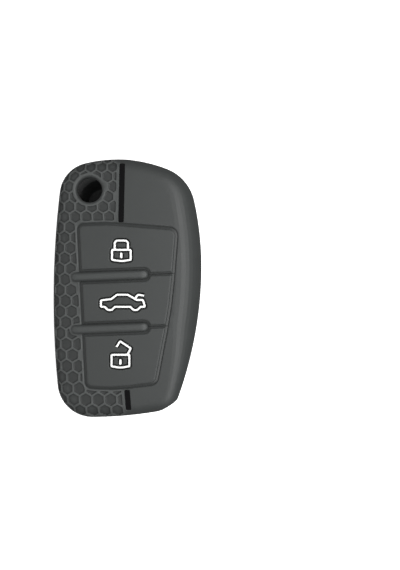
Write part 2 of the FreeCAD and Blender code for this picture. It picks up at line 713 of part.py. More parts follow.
def car_outline():
    """The centre line of the car seen from its side, nose to the left, with its wheels below the sill."""
    bend = "Sizes.symbol_bend"
    places = [("Sizes.car_nose_x", "Sizes.car_sill_y", bend)]
    for wheel in ("Sizes.car_front_wheel_x", "Sizes.car_rear_wheel_x"):
        places += [
            (f"{wheel} - Sizes.car_wheel_span / 2", "Sizes.car_sill_y", bend),
            (wheel, "Sizes.car_sill_y - Sizes.car_wheel_drop", "Sizes.car_wheel_bend"),
            (f"{wheel} + Sizes.car_wheel_span / 2", "Sizes.car_sill_y", bend),
        ]
    places += [
        ("Sizes.car_tail_x", "Sizes.car_sill_y", bend),
        ("Sizes.car_boot_x", "Sizes.car_deck_y", bend),
        ("Sizes.car_deck_x", "Sizes.car_deck_y", bend),
        ("Sizes.car_roof_back_x", "Sizes.car_roof_y", bend),
        ("Sizes.car_roof_front_x", "Sizes.car_roof_y", bend),
        ("Sizes.car_screen_x", "Sizes.car_screen_y", bend),
        ("Sizes.car_nose_x", "Sizes.car_nose_y", bend),
    ]
    corners = [(*on_symbol("car", x, y), radius) for x, y, radius in places]
    return rounded_line(flat_sketch("car_line"), corners)


def car_lid():
    """The centre line of the car's raised boot lid."""
    corners = []
    for place in ("start", "bend", "end"):
        point = (f"Sizes.car_lid_{place}_x", f"Sizes.car_lid_{place}_y")
        corners.append((*on_symbol("car", *point), "Sizes.car_lid_bend"))
    return rounded_line(flat_sketch("car_lid_line"), corners, closed=False)


def keyhole(symbol):
    """The outline of a padlock's keyhole."""
    ends = [on_symbol(symbol, "0", f"{side} * Sizes.keyhole_length / 2") for side in (-1, 1)]
    return slot_line(flat_sketch(f"{symbol}_keyhole_line"), *ends, "Sizes.keyhole_width / 2")


SYMBOL_LOW = f"{PAD_TOP} - Sizes.symbol_depth"


def stroke(name, lines, grow, height):
    """White strokes of one width along closed and open centre lines, as one solid."""
    half = f"Sizes.symbol_stroke / 2 + {grow}"
    solids = []
    for line in lines:
        tag = f"{name}_{line.Name}"
        band = extrude(f"{tag}_band", offset(f"{tag}_outside", line, half), SYMBOL_LOW, height)
        if line.Shape.isClosed():
            inside = offset(f"{tag}_inside", line, f"-({half})")
            band = cut(f"{tag}_ring", band, extrude(f"{tag}_core", inside, SYMBOL_LOW, height))
        solids.append(band)
    return fuse(name, solids) if len(solids) > 1 else solids[0]


symbol_lines = {
    "lock": [padlock_body("lock"), closed_shackle()],
    "boot": [car_outline(), car_lid()],
    "unlock": [padlock_body("unlock"), open_shackle()],
}
keyhole_lines = {"lock": keyhole("lock"), "unlock": keyhole("unlock")}
doc.recompute()

nodes = {}
SYMBOL_HEIGHT = "Sizes.symbol_depth + Sizes.symbol_rise"
POCKET_HEIGHT = "2 * Sizes.symbol_depth"
for button, lines in symbol_lines.items():
    nodes[f"{button}_icon"] = stroke(f"{button}_icon", lines, "0", SYMBOL_HEIGHT)
    pockets = [stroke(f"{button}_pocket", lines, "Sizes.symbol_moat", POCKET_HEIGHT)]
    if button in keyhole_lines:
        line = keyhole_lines[button]
        nodes[f"{button}_icon_keyhole"] = extrude(f"{button}_icon_keyhole", line, SYMBOL_LOW, SYMBOL_HEIGHT)
        grown = offset(f"{button}_keyhole_room_line", line, "Sizes.symbol_moat")
        pockets.append(extrude(f"{button}_keyhole_room", grown, SYMBOL_LOW, POCKET_HEIGHT))
    room = fuse(f"{button}_symbol_room", pockets) if len(pockets) > 1 else pockets[0]
    nodes[f"{button}_button_pad"] = cut(f"{button}_button_pad", pads[button], room)
    nodes[f"{button}_button_web"] = webs[button]

# Black stripes, each on the floor of its groove

STRIPES = {
    "front_upper_stripe": ("front_stripe_top", "front_stripe_panel"),
    "front_lower_stripe": ("front_stripe_low", "front_stripe_end"),
    "back_upper_stripe": ("back_stripe_top", "back_stripe_window"),
    "back_lower_stripe": ("back_stripe_low", "back_stripe_bend", "back_stripe_end"),
}
grooves = []
for name, places in STRIPES.items():
    half = "Sizes.stripe_width / 2"
    corners = []
    for side, order in ((-1, places), (1, reversed(places))):
        for place in order:
            bend = "Sizes.back_stripe_bend" if place == "back_stripe_bend" else "Sizes.stripe_corner"
            corners.append((f"Sizes.{place}_x + {side} * {half}", f"Sizes.{place}_y", bend))
    line = rounded_line(flat_sketch(f"{name}_line"), corners)
    grown = offset(f"{name}_groove_line", line, "Sizes.stripe_clearance")
    front = name.startswith("front")
    low = f"{FRONT} - Sizes.stripe_depth" if front else "Sizes.stripe_depth - Sizes.stripe_thickness"
    nodes[name] = extrude(name, line, low, "Sizes.stripe_thickness")
    groove_low = f"{FRONT} - Sizes.stripe_depth" if front else "-Sizes.stripe_depth"
    grooves.append(extrude(f"{name}_groove", grown, groove_low, "2 * Sizes.stripe_depth"))

# Sleeve: hollow, with all its openings and the raised bars

hollow = cut("hollow", cover_block, key_pocket)
openings = [notch, ring_slot, blade_slot, hole_bore, hole_rim, window_bore, window_rim, panel_opening]
opened = cut("opened", hollow, fuse("openings", openings + grooves))
nodes["cover_shell"] = fuse("cover_shell", [opened, bars])

doc.recompute()
for thing in doc.Objects:
    if "Invalid" in thing.State or "Error" in thing.State:
        raise RuntimeError(f"{thing.Name} failed: {thing.State}")
for name, node in nodes.items():
    node.Label = name
    shape = node.Shape
    if shape.isNull() or not shape.isValid() or len(shape.Solids) != 1:
        raise RuntimeError(f"{name} is not one valid solid")

os.makedirs("parts", exist_ok=True)
for name, node in nodes.items():
    node.Shape.Solids[0].exportStep(f"parts/{name}.step")
    print(f"{name}: {node.Shape.Volume:.1f} mm3")
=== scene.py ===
import logging
import math
from collections.abc import Iterator, Sequence
from contextlib import contextmanager
from dataclasses import dataclass, field, replace
from enum import Enum

import bmesh
import bpy
import numpy as np
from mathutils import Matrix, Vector
from mathutils.bvhtree import BVHTree
from mathutils.kdtree import KDTree


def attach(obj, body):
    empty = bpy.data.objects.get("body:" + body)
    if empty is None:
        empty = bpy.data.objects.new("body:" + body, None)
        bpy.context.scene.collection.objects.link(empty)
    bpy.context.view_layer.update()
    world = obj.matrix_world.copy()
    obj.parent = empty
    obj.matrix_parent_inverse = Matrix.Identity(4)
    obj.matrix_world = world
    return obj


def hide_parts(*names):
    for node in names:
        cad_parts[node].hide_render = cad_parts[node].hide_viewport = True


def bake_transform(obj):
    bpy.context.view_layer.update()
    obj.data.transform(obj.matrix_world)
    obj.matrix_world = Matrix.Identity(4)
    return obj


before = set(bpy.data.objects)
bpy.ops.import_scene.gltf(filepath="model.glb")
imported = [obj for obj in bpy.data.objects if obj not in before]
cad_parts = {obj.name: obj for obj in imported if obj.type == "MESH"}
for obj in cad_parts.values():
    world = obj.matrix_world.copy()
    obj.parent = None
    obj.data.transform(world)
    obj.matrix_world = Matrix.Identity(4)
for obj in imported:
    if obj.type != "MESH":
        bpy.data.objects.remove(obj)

# Dresses the silicone cover of a folding car key. Every piece is modelled in millimetres in the
# frame of the CAD, rounded as a soft moulding is, and brought to metres at the end.

LOG = logging.getLogger("key_fob_cover")
MM = 0.001

# A face is flat where its normal's upright share is at least this.
FLAT = 0.9
# Heights are the same, cuts close and doubles merge within these distances, in millimetres.
SAME_HEIGHT = 1e-3
CUT_CLOSE = 1e-5
DOUBLES = 1e-4

Point = tuple[float, float]
Spot = tuple[float, float, float]
Arc = tuple[Point, float, float, float]


class Button(Enum):
    """The push buttons, from the round hole downwards."""

    LOCK = "lock"
    BOOT = "boot"
    UNLOCK = "unlock"


class Face(Enum):
    """The two large faces of the cover."""

    FRONT = "front"
    BACK = "back"


# Outlines


def polar(centre: Point, radius: float, angle: float) -> Point:
    """The point at a radius and an angle from a centre."""
    return centre[0] + radius * math.cos(angle), centre[1] + radius * math.sin(angle)


def heading(start: Point, end: Point) -> float:
    """The direction from one point to another, from 0 to a full turn."""
    return math.atan2(end[1] - start[1], end[0] - start[0]) % math.tau


def circle(centre: Point, radius: float, steps: int) -> list[Point]:
    """The points of a circle, anticlockwise."""
    return [polar(centre, radius, math.tau * k / steps) for k in range(steps)]


def rounded(
    corners: Sequence[Spot], closed: bool = True, step: float = math.radians(8)
) -> list[Point]:
    """A line through corners, each rounded by a tangent arc.

    Args:
        corners: The corners as x, y and radius.
        closed: Whether the last corner joins the first.
        step: The largest turn between two points of an arc.

    Returns:
        The points along the line.
    """
    places = [Vector(corner[:2]) for corner in corners]
    line: list[Point] = []
    for k, (x, y, radius) in enumerate(corners):
        if radius == 0 or (not closed and k in (0, len(corners) - 1)):
            line.append((x, y))
            continue
        into = (places[k] - places[k - 1]).normalized()
        out = (places[(k + 1) % len(places)] - places[k]).normalized()
        turn = math.atan2(into.x * out.y - into.y * out.x, into.dot(out))
        start = places[k] - into * radius * math.tan(abs(turn) / 2)
        centre = start + Vector((-into.y, into.x)) * math.copysign(radius, turn)
        first = heading(centre, start)
        count = max(2, math.ceil(abs(turn) / step))
        line += [polar(centre, radius, first + turn * n / count) for n in range(count + 1)]
    return line


def grown(line: Sequence[Point], distance: float) -> list[Point]:
    """Moves a closed line outwards, with mitred corners.

    Args:
        line: The line, anticlockwise.
        distance: How far it moves.

    Returns:
        The moved line.
    """
    ring = np.array(line)
    along = np.roll(ring, -1, 0) - ring
    along /= np.linalg.norm(along, axis=1)[:, None]
    normal = np.stack([along[:, 1], -along[:, 0]], 1)
    before = np.roll(normal, 1, 0)
    mitre = (normal + before) / (1 + (normal * before).sum(1))[:, None]
    return [(float(x), float(y)) for x, y in ring + mitre * distance]


def oblong(start: Point, end: Point, half: float, steps: int = 12) -> list[Point]:
    """The outline of a slot with round ends, anticlockwise.

    Args:
        start: The centre of one end.
        end: The centre of the other.
        half: Half the slot's width.
        steps: The steps of each round end.

    Returns:
        The outline.
    """
    along = heading(start, end)
    line: list[Point] = []
    for centre, begin in ((end, along - math.pi / 2), (start, along + math.pi / 2)):
        line += [polar(centre, half, begin + math.pi * n / steps) for n in range(steps + 1)]
    return line


def level(line: Sequence[Point], height: float) -> list[Spot]:
    """A flat line at a height."""
    return [(x, y, height) for x, y in line]


def eased(values: np.ndarray, start: float, end: float) -> np.ndarray:
    """The share, from 0 to 1, that values have gone from a start to an end, eased at both."""
    share = np.clip((values - start) / (end - start), 0, 1)
    return share * share * (3 - 2 * share)


# Modelling


@dataclass(frozen=True)
class Softness:
    """How far a moulded piece is rounded.

    Attributes:
        voxel: The size of the finest detail, in millimetres.
        rounds: How often its surface is smoothed.
        triangles: About how many triangles the finished piece has.
    """

    voxel: float
    rounds: int
    triangles: int


class Bench:
    """The modelling bench: Blender's tools, used on one piece at a time."""

    @staticmethod
    def take(*pieces: bpy.types.Object) -> bpy.types.Object:
        """Selects these pieces and no other, and makes the first one active.

        Args:
            pieces: The pieces to select.

        Returns:
            The first piece.
        """
        bpy.ops.object.select_all(action="DESELECT")
        for piece in pieces:
            piece.select_set(True)
        bpy.context.view_layer.objects.active = pieces[0]
        return pieces[0]

    @staticmethod
    @contextmanager
    def editing(piece: bpy.types.Object) -> Iterator[bmesh.types.BMesh]:
        """Opens a piece in edit mode for a while.

        Args:
            piece: The piece to open.

        Yields:
            Its mesh, for selecting by place.
        """
        Bench.take(piece)
        bpy.ops.object.mode_set(mode="EDIT")
        yield bmesh.from_edit_mesh(piece.data)
        bpy.ops.object.mode_set(mode="OBJECT")

    @staticmethod
    def named(name: str) -> bpy.types.Object:
        """Gives the piece that was just added a name.

        Args:
            name: The name.

        Returns:
            The piece.
        """
        piece = bpy.context.object
        piece.name = piece.data.name = name
        return piece

    @staticmethod
    def ring(name: str, spots: Sequence[Spot], fill: str = "NGON") -> bpy.types.Object:
        """Adds a circle and moves its points to their places.

        Args:
            name: The piece's name.
            spots: The places of the points, in order.
            fill: How the circle is filled, in Blender's words.

        Returns:
            The piece.
        """
        bpy.ops.object.select_all(action="DESELECT")
        bpy.ops.mesh.primitive_circle_add(vertices=len(spots), fill_type=fill)
        piece = Bench.named(name)
        piece.data.vertices.foreach_set("co", np.array(spots, float).ravel())
        return piece

    @staticmethod
    def extrude_to(piece: bpy.types.Object, before: Sequence[Spot], after: Sequence[Spot]) -> None:
        """Extrudes what is selected and moves each new point from its old place to its new one.

        Args:
            piece: The piece, in edit mode.
            before: The places of the selected points.
            after: The places they move to, in the same order.
        """
        bpy.ops.mesh.extrude_region_move()
        tree = KDTree(len(before))
        for k, spot in enumerate(before):
            tree.insert(spot, k)
        tree.balance()
        mesh = bmesh.from_edit_mesh(piece.data)
        for point in mesh.verts:
            if point.select:
                point.co = after[tree.find(point.co)[1]]
        bmesh.update_edit_mesh(piece.data)

    @staticmethod
    def loft(name: str, rings: Sequence[Sequence[Spot]]) -> bpy.types.Object:
        """A solid through rings of as many points each, by extruding from ring to ring.

        Args:
            name: The piece's name.
            rings: The rings, from one end to the other.

        Returns:
            The piece, with its faces turned outwards.
        """
        piece = Bench.ring(name, rings[0])
        with Bench.editing(piece):
            bpy.ops.mesh.select_all(action="SELECT")
            for before, after in zip(rings, rings[1:]):
                Bench.extrude_to(piece, before, after)
            bpy.ops.mesh.select_all(action="SELECT")
            bpy.ops.mesh.normals_make_consistent(inside=False)
        return piece

    @staticmethod
    def prism(name: str, line: Sequence[Point], low: float, high: float) -> bpy.types.Object:
        """A flat outline, raised from one height to another."""
        return Bench.loft(name, [level(line, low), level(line, high)])

    @staticmethod
    def block(name: str, low: Spot, high: Spot) -> bpy.types.Object:
        """A box between two corners."""
        line = [(low[0], low[1]), (high[0], low[1]), (high[0], high[1]), (low[0], high[1])]
        return Bench.prism(name, line, low[2], high[2])

    @staticmethod
    def apply(piece: bpy.types.Object, kind: str, **settings: object) -> None:
        """Adds a modifier with its settings to a piece and applies it.

        Args:
            piece: The piece.
            kind: The modifier, in Blender's words.
            settings: Its settings.
        """
        Bench.take(piece)
        modifier = piece.modifiers.new(kind.title(), kind)
        for key, setting in settings.items():
            setattr(modifier, key, setting)
        bpy.ops.object.modifier_apply(modifier=modifier.name)

    @staticmethod
    def combine(
        piece: bpy.types.Object, tool: bpy.types.Object, operation: str = "DIFFERENCE"
    ) -> None:
        """Cuts a piece with a tool, or keeps what they share, and throws the tool away."""
        Bench.apply(piece, "BOOLEAN", operation=operation, solver="EXACT", object=tool)
        bpy.data.objects.remove(tool)

    @staticmethod
    def slice(piece: bpy.types.Object, place: Point, angle: float) -> None:
        """Cuts a piece along an upright plane and drops what lies on the far side.

        Args:
            piece: The piece to cut.
            place: A point on the plane.
            angle: The direction in which the part that is dropped lies.
        """
        with Bench.editing(piece):
            bpy.ops.mesh.select_all(action="SELECT")
            bpy.ops.mesh.bisect(
                plane_co=(*place, 0),
                plane_no=(math.cos(angle), math.sin(angle), 0),
                use_fill=True,
                clear_outer=True,
                threshold=CUT_CLOSE,
            )

    @staticmethod
    def round_rim(piece: bpy.types.Object, height: float, radius: float) -> None:
        """Bevels the rim of a piece's flat top.

        Args:
            piece: The piece.
            height: The height of its top.
            radius: The rounding of its rim.
        """
        with Bench.editing(piece) as mesh:
            bpy.ops.mesh.select_all(action="DESELECT")
            for edge in mesh.edges:
                tops = [abs(side.normal.z) > FLAT for side in edge.link_faces]
                at_top = all(abs(point.co.z - height) < SAME_HEIGHT for point in edge.verts)
                edge.select_set(at_top and any(tops) and not all(tops))
            bmesh.update_edit_mesh(piece.data)
            bpy.ops.mesh.bevel(offset=radius, segments=4, affect="EDGES", clamp_overlap=False)

    @staticmethod
    def soften(piece: bpy.types.Object, softness: Softness) -> None:
        """Gives a piece the rounded edges of a soft moulding.

        Args:
            piece: The piece, as closed solids, which become one.
            softness: How far it is rounded.
        """
        Bench.apply(piece, "REMESH", mode="VOXEL", voxel_size=softness.voxel)
        Bench.apply(piece, "SMOOTH", factor=0.5, iterations=softness.rounds)
        share = softness.triangles / (2 * len(piece.data.polygons))
        if share < 1:
            Bench.apply(piece, "DECIMATE", ratio=share)

    @staticmethod
    def surface(piece: bpy.types.Object) -> BVHTree:
        """A piece's surface as it is now, for measuring distances from it."""
        return BVHTree.FromObject(piece, bpy.context.evaluated_depsgraph_get())

    @staticmethod
    def mark(piece: bpy.types.Object, name: str, shares: np.ndarray) -> None:
        """Notes a share at each point of a piece, which its finish reads."""
        piece.data.attributes.new(name, "FLOAT", "POINT").data.foreach_set("value", shares)

    @staticmethod
    def finish(piece: bpy.types.Object) -> None:
        """Brings a piece to metres and smooths its shading.

        Args:
            piece: The piece, in millimetres.
        """
        Bench.take(piece)
        piece.scale = (MM, MM, MM)
        bpy.ops.object.transform_apply(location=True, rotation=True, scale=True)
        bpy.ops.object.shade_smooth()
        Bench.apply(piece, "WEIGHTED_NORMAL", mode="FACE_AREA", weight=50)


# Finishes


class Signal:
    """A value that varies over a surface; sums on it add Math nodes."""

    def __init__(self, tree: bpy.types.NodeTree, socket: bpy.types.NodeSocket) -> None:
        """Wraps a node's output."""
        self.tree = tree
        self.socket = socket

    def _math(self, operation: str, first: "Signal | float", second: "Signal | float") -> "Signal":
        """Adds a Math node.

        Args:
            operation: The operation, in Blender's words.
            first: The first value.
            second: The second value.

        Returns:
            The result.
        """
        node = self.tree.nodes.new("ShaderNodeMath")
        node.operation = operation
        for place, value in zip(node.inputs, (first, second)):
            if isinstance(value, Signal):
                self.tree.links.new(value.socket, place)
            else:
                place.default_value = value
        return Signal(self.tree, node.outputs[0])

    def __add__(self, other: "Signal | float") -> "Signal":
        """The sum."""
        return self._math("ADD", self, other)

    __radd__ = __add__

    def __sub__(self, other: "Signal | float") -> "Signal":
        """The difference."""
        return self._math("SUBTRACT", self, other)

    def __rsub__(self, other: float) -> "Signal":
        """The difference the other way round."""
        return self._math("SUBTRACT", other, self)

    def __mul__(self, other: "Signal | float") -> "Signal":
        """The product."""
        return self._math("MULTIPLY", self, other)

    __rmul__ = __mul__


class Shader:
    """The node tree of one material."""

    def __init__(self, name: str) -> None:
        """Starts an empty material.

        Args:
            name: Its name.
        """
        self.material = bpy.data.materials.new(name)
        self.material.use_nodes = True
        self.tree = self.material.node_tree
        self.tree.nodes.clear()

    def node(
        self, kind: str, settings: dict[str, object] | None = None, **sockets: object
    ) -> bpy.types.Node:
        """Adds a node.

        Args:
            kind: The node's type.
            settings: Its settings, which are set first.
            sockets: The values or links of its sockets, by their names with _ for spaces.

        Returns:
            The node.
        """
        node = self.tree.nodes.new(kind)
        for key, setting in (settings or {}).items():
            setattr(node, key, setting)
        for key, value in sockets.items():
            socket = node.inputs[key.replace("_", " ")]
            if isinstance(value, Signal):
                self.tree.links.new(value.socket, socket)
            elif isinstance(value, bpy.types.NodeSocket):
                self.tree.links.new(value, socket)
            else:
                socket.default_value = value
        return node

    def grain(self, size: float, detail: float = 2.0) -> Signal:
        """Cloudy noise from 0 to 1.

        Args:
            size: The size of its spots, in millimetres.
            detail: How much finer noise is added.

        Returns:
            The noise.
        """
        place = self.node("ShaderNodeTexCoord").outputs["Object"]
        noise = self.node("ShaderNodeTexNoise", Vector=place, Scale=1 / (size * MM), Detail=detail)
        return Signal(self.tree, noise.outputs["Fac"])

    def blend(
        self, share: Signal, first: Sequence[float] | bpy.types.NodeSocket, second: Sequence[float]
    ) -> bpy.types.NodeSocket:
        """A colour between two colours.

        Args:
            share: The share of the second colour.
            first: The first colour, or the output that gives it.
            second: The second colour.

        Returns:
            The output that gives the colour.
        """
        mix = self.node("ShaderNodeMix", {"data_type": "RGBA"}, Factor=share)
        if isinstance(first, bpy.types.NodeSocket):
            self.tree.links.new(first, mix.inputs[6])
        else:
            mix.inputs[6].default_value = (*first, 1)
        mix.inputs[7].default_value = (*second, 1)
        return mix.outputs[2]

    def marked(self, name: str) -> Signal:
        """The share that is noted on the piece under a name."""
        note = self.node("ShaderNodeAttribute", {"attribute_name": name})
        return Signal(self.tree, note.outputs["Fac"])


@dataclass(frozen=True)
class Silicone:
    """Moulded silicone of one colour.

    Attributes:
        slot: The record's material slot.
        dark: The darker of its two close colours.
        light: The lighter one.
        roughness: Its mean roughness.
        spread: How far its roughness varies.
        grain: The size of its moulded grain, in millimetres.
        relief: The strength of that grain.
        sheen: The share of soft light that its dusty skin scatters.
        gloss: The strength of its reflection.
        cloud: The size of its cloudy patches, in millimetres.
        cloud_share: Their share of its mottle, of which the grain makes the rest.
        grain_depth: The depth of its grain, in millimetres.
        sheen_roughness: How far the sheen spreads.
        painted_highlight: Its colour where a piece is marked with painted highlight, lightening ribs
            and bars as light catching them would.
        shaded: Its colour where a piece is marked with shade, in hollows.
    """

    slot: str
    dark: Spot
    light: Spot
    roughness: float
    spread: float
    grain: float
    relief: float
    sheen: float = 0.0
    gloss: float = 0.35
    cloud: float = 6.0
    cloud_share: float = 0.6
    grain_depth: float = 0.02
    sheen_roughness: float = 0.5
    painted_highlight: Spot | None = None
    shaded: Spot | None = None

    def material(self) -> bpy.types.Material:
        """Builds the material.

        Returns:
            The material.
        """
        shader = Shader(self.slot)
        cloud = shader.grain(self.cloud, detail=4.0)
        fine = shader.grain(self.grain, detail=3.0)
        mottle = cloud * self.cloud_share + fine * (1 - self.cloud_share)
        deep = self.grain_depth * MM
        bump = shader.node("ShaderNodeBump", Strength=self.relief, Distance=deep, Height=fine)
        colour = shader.blend(mottle, self.dark, self.light)
        # Painted light: the highlight mark lightens ribs and bars, and the shade mark darkens
        # hollows.
        for name, other in (("highlight", self.painted_highlight), ("shade", self.shaded)):
            if other:
                colour = shader.blend(shader.marked(name), colour, other)
        surface = shader.node(
            "ShaderNodeBsdfPrincipled",
            Base_Color=colour,
            Roughness=self.roughness + (mottle - 0.5) * self.spread,
            Normal=bump.outputs["Normal"],
        )
        surface.inputs["Sheen Weight"].default_value = self.sheen
        surface.inputs["Sheen Roughness"].default_value = self.sheen_roughness
        surface.inputs["Specular IOR Level"].default_value = self.gloss
        shader.node("ShaderNodeOutputMaterial", Surface=surface.outputs["BSDF"])
        return shader.material


GREY = Silicone(
    slot="grey_silicone",
    dark=(0.0295, 0.0322, 0.0316),
    light=(0.037, 0.040, 0.0394),
    roughness=0.52,
    spread=0.14,
    grain=0.16,
    relief=0.22,
    sheen=0.04,
    gloss=0.38,
    # Painted highlight colour for the ribs and the raised bars.
    painted_highlight=(0.057, 0.061, 0.060),
    shaded=(0.007, 0.0077, 0.0075),
)
BLACK = Silicone(
    slot="black_silicone",
    dark=(0.0035, 0.0035, 0.0038),
    light=(0.0055, 0.0055, 0.0058),
    roughness=0.6,
    spread=0.1,
    grain=0.14,
    relief=0.15,
    gloss=0.04,
)
WHITE = Silicone(
    slot="white_silicone",
    dark=(0.84, 0.85, 0.84),
    light=(0.89, 0.90, 0.89),
    roughness=0.5,
    spread=0.1,
    grain=0.12,
    relief=0.1,
)


class Wardrobe:
    """Dresses finished pieces; each finish is made once."""

    def __init__(self) -> None:
        """Starts with no finish made."""
        self.made: dict[str, bpy.types.Material] = {}

    def dress(self, piece: bpy.types.Object, finish: Silicone, *nodes: str) -> None:
        """Finishes a piece, gives it its material and puts it in the place of its CAD nodes.

        Args:
            piece: The piece, in millimetres.
            finish: Its finish.
            nodes: The CAD nodes that it stands for.
        """
        Bench.finish(piece)
        if finish.slot not in self.made:
            self.made[finish.slot] = finish.material()
        piece.data.materials.clear()
        piece.data.materials.append(self.made[finish.slot])
        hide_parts(*nodes)
        LOG.info("%s: %d faces, in %s", piece.name, len(piece.data.polygons), finish.slot)


# Button panel


@dataclass
class ButtonPanel:
    """The panel in the front: its opening, the raised bars, and the pads on their thin webs.

    The corners are x, y and radius, and all lengths are in millimetres.
    """

    front: float = 18.0
    inside: float = 16.0
    corners: tuple[Spot, ...] = (
        (-14.0, 18.55, 1.8),
        (-11.65, -28.6, 1.8),
        (-4.0, -29.3, 42.0),
        (9.0, -27.6, 2.5),
        (13.3, -5.0, 140.0),
        (15.1, 17.3, 2.5),
        (-5.5, 18.95, 42.0),
    )
    lip: float = 0.3
    bar_heights: tuple[float, float] = (3.75, -11.3)
    bar_tilt: float = math.radians(2.2)
    bar_reach: tuple[float, float] = (-14.4, 5.2)
    bar_half: float = 1.3
    bar_rise: float = 0.9
    bar_edge: float = 1.0
    bar_nose: float = 1.3
    gap: float = 0.6
    slit: float = 0.7
    pad_rise: float = 0.25
    pad_edge: float = 0.5
    web_depth: float = 0.45
    web_rise: float = 0.35
    web_thickness: float = 0.16
    web_hold: float = 0.15
    groove: Point = (0.05, 0.7)
    pad_shade: float = 1.0
    web_shade: float = 0.45
    overshoot: float = 2.0

    def outline(self) -> list[Point]:
        """The outline of the opening."""
        return rounded(self.corners)

    def bar_ends(self, height: float) -> list[Point]:
        """The end centres of a bar."""
        return [(x, height + x * math.tan(self.bar_tilt)) for x in self.bar_reach]

    def opening(self) -> bpy.types.Object:
        """The tool that cuts the opening, flared at its lip.

        Returns:
            The tool.
        """
        line = self.outline()
        top = self.front - self.lip
        rings = [level(line, self.inside - self.overshoot), level(line, top)]
        rings.append(level(grown(line, 2 * self.lip), top + 2 * self.lip))
        return Bench.loft("panel_opening", rings)

    def bars(self, grow: float = 0.0, steps: int = 6) -> list[bpy.types.Object]:
        """Both bars with their rounded tops.

        Args:
            grow: How far they are grown on every side, as tools that make room for them.
            steps: The rings on the rounding of their tops.

        Returns:
            The bars.
        """
        past = self.overshoot if grow else 0.0
        half, top = self.bar_half + grow, self.front + self.bar_rise + past
        made = []
        for height in self.bar_heights:
            left, right = self.bar_ends(height)
            rings = [level(oblong(left, right, half), self.inside - past)]
            for k in range(steps + 1):
                turn = k / steps * math.pi / 2
                gone = 1 - math.cos(turn)
                nose = self.bar_nose * gone
                ends = polar(left, nose, self.bar_tilt), polar(right, -nose, self.bar_tilt)
                ring = oblong(*ends, half - self.bar_edge * gone)
                rings.append(level(ring, top - self.bar_edge * (1 - math.sin(turn))))
            made.append(Bench.loft("bar", rings))
        return made

    def fields(self) -> dict[Button, tuple[float | None, float | None]]:
        """The heights of the bar axes below and above each button."""
        upper, lower = self.bar_heights
        return {
            Button.LOCK: (upper, None),
            Button.BOOT: (lower, upper),
            Button.UNLOCK: (None, lower),
        }

    def keep_in_field(self, piece: bpy.types.Object, button: Button, inset: float) -> None:
        """Cuts a piece off at the bar axes that bound its button.

        Args:
            piece: The piece.
            button: Its button.
            inset: How far from the axes it ends.
        """
        up = inset / math.cos(self.bar_tilt)
        low, high = self.fields()[button]
        if low is not None:
            Bench.slice(piece, (0, low + up), self.bar_tilt - math.pi / 2)
        if high is not None:
            Bench.slice(piece, (0, high - up), self.bar_tilt + math.pi / 2)

    def pad_block(self, name: str, button: Button, low: float, high: float) -> bpy.types.Object:
        """A button's field of the panel as a plain block.

        Args:
            name: The piece's name.
            button: The button.
            low: The height of its foot.
            high: The height of its top.

        Returns:
            The block.
        """
        block = Bench.prism(name, grown(self.outline(), -self.gap), low, high)
        for bar in self.bars(self.gap):
            Bench.combine(block, bar)
        self.keep_in_field(block, button, self.slit / 2)
        return block

    def pad(self, button: Button, trenches: Sequence[bpy.types.Object]) -> bpy.types.Object:
        """A pad with its rounded rim and the trenches of its symbol.

        Args:
            button: The button.
            trenches: The tools that cut the symbol's trenches.

        Returns:
            The pad.
        """
        top = self.front + self.pad_rise
        pad = self.pad_block(f"{button.value}_pad", button, self.inside, top)
        Bench.round_rim(pad, top, self.pad_edge)
        for trench in trenches:
            Bench.combine(pad, trench)
        return pad

    def web(self, button: Button) -> bpy.types.Object:
        """The thin sloping skin between a pad and its opening.

        Args:
            button: The button.

        Returns:
            The web, which reaches a little into both.
        """
        block = self.pad_block("web_pattern", button, self.inside, self.front)
        line = self.rim_of(block)
        bpy.data.objects.remove(block)
        middle = self.front - self.web_depth - self.web_thickness / 2
        outer = level(grown(line, self.gap + self.web_hold), middle)
        inner = level(grown(line, -self.web_hold), middle + self.web_rise)
        web = Bench.ring(f"{button.value}_web", outer, "NOTHING")
        with Bench.editing(web):
            bpy.ops.mesh.select_all(action="SELECT")
            Bench.extrude_to(web, outer, inner)
        Bench.apply(web, "SOLIDIFY", thickness=self.web_thickness, offset=0.0, use_even_offset=True)
        self.keep_in_field(web, button, 0.0)
        return web

    @staticmethod
    def rim_of(block: bpy.types.Object) -> list[Point]:
        """The outline of a plain block's foot, anticlockwise.

        Args:
            block: The block.

        Returns:
            The outline.
        """
        mesh = block.data
        feet = [side for side in mesh.polygons if side.normal.z < -FLAT]
        foot = max(feet, key=lambda side: side.area)
        line = [tuple(mesh.vertices[k].co[:2]) for k in foot.vertices]
        return list(reversed(line))

    def shade(self, piece: bpy.types.Object, share: float) -> None:
        """Marks a piece with shade where it lies below the pads' tops.

        Args:
            piece: The piece, in millimetres.
            share: The share of shade at the groove's floor.
        """
        top = self.front + self.pad_rise
        depths = np.array([top - point.co.z for point in piece.data.vertices])
        Bench.mark(piece, "shade", share * eased(depths, *self.groove))

    def join(self, web: bpy.types.Object, button: Button) -> None:
        """Bakes a web's place into its mesh.

        Args:
            web: The web, in metres.
            button: The button; not used.
        """
        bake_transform(web)


# Symbols on the buttons


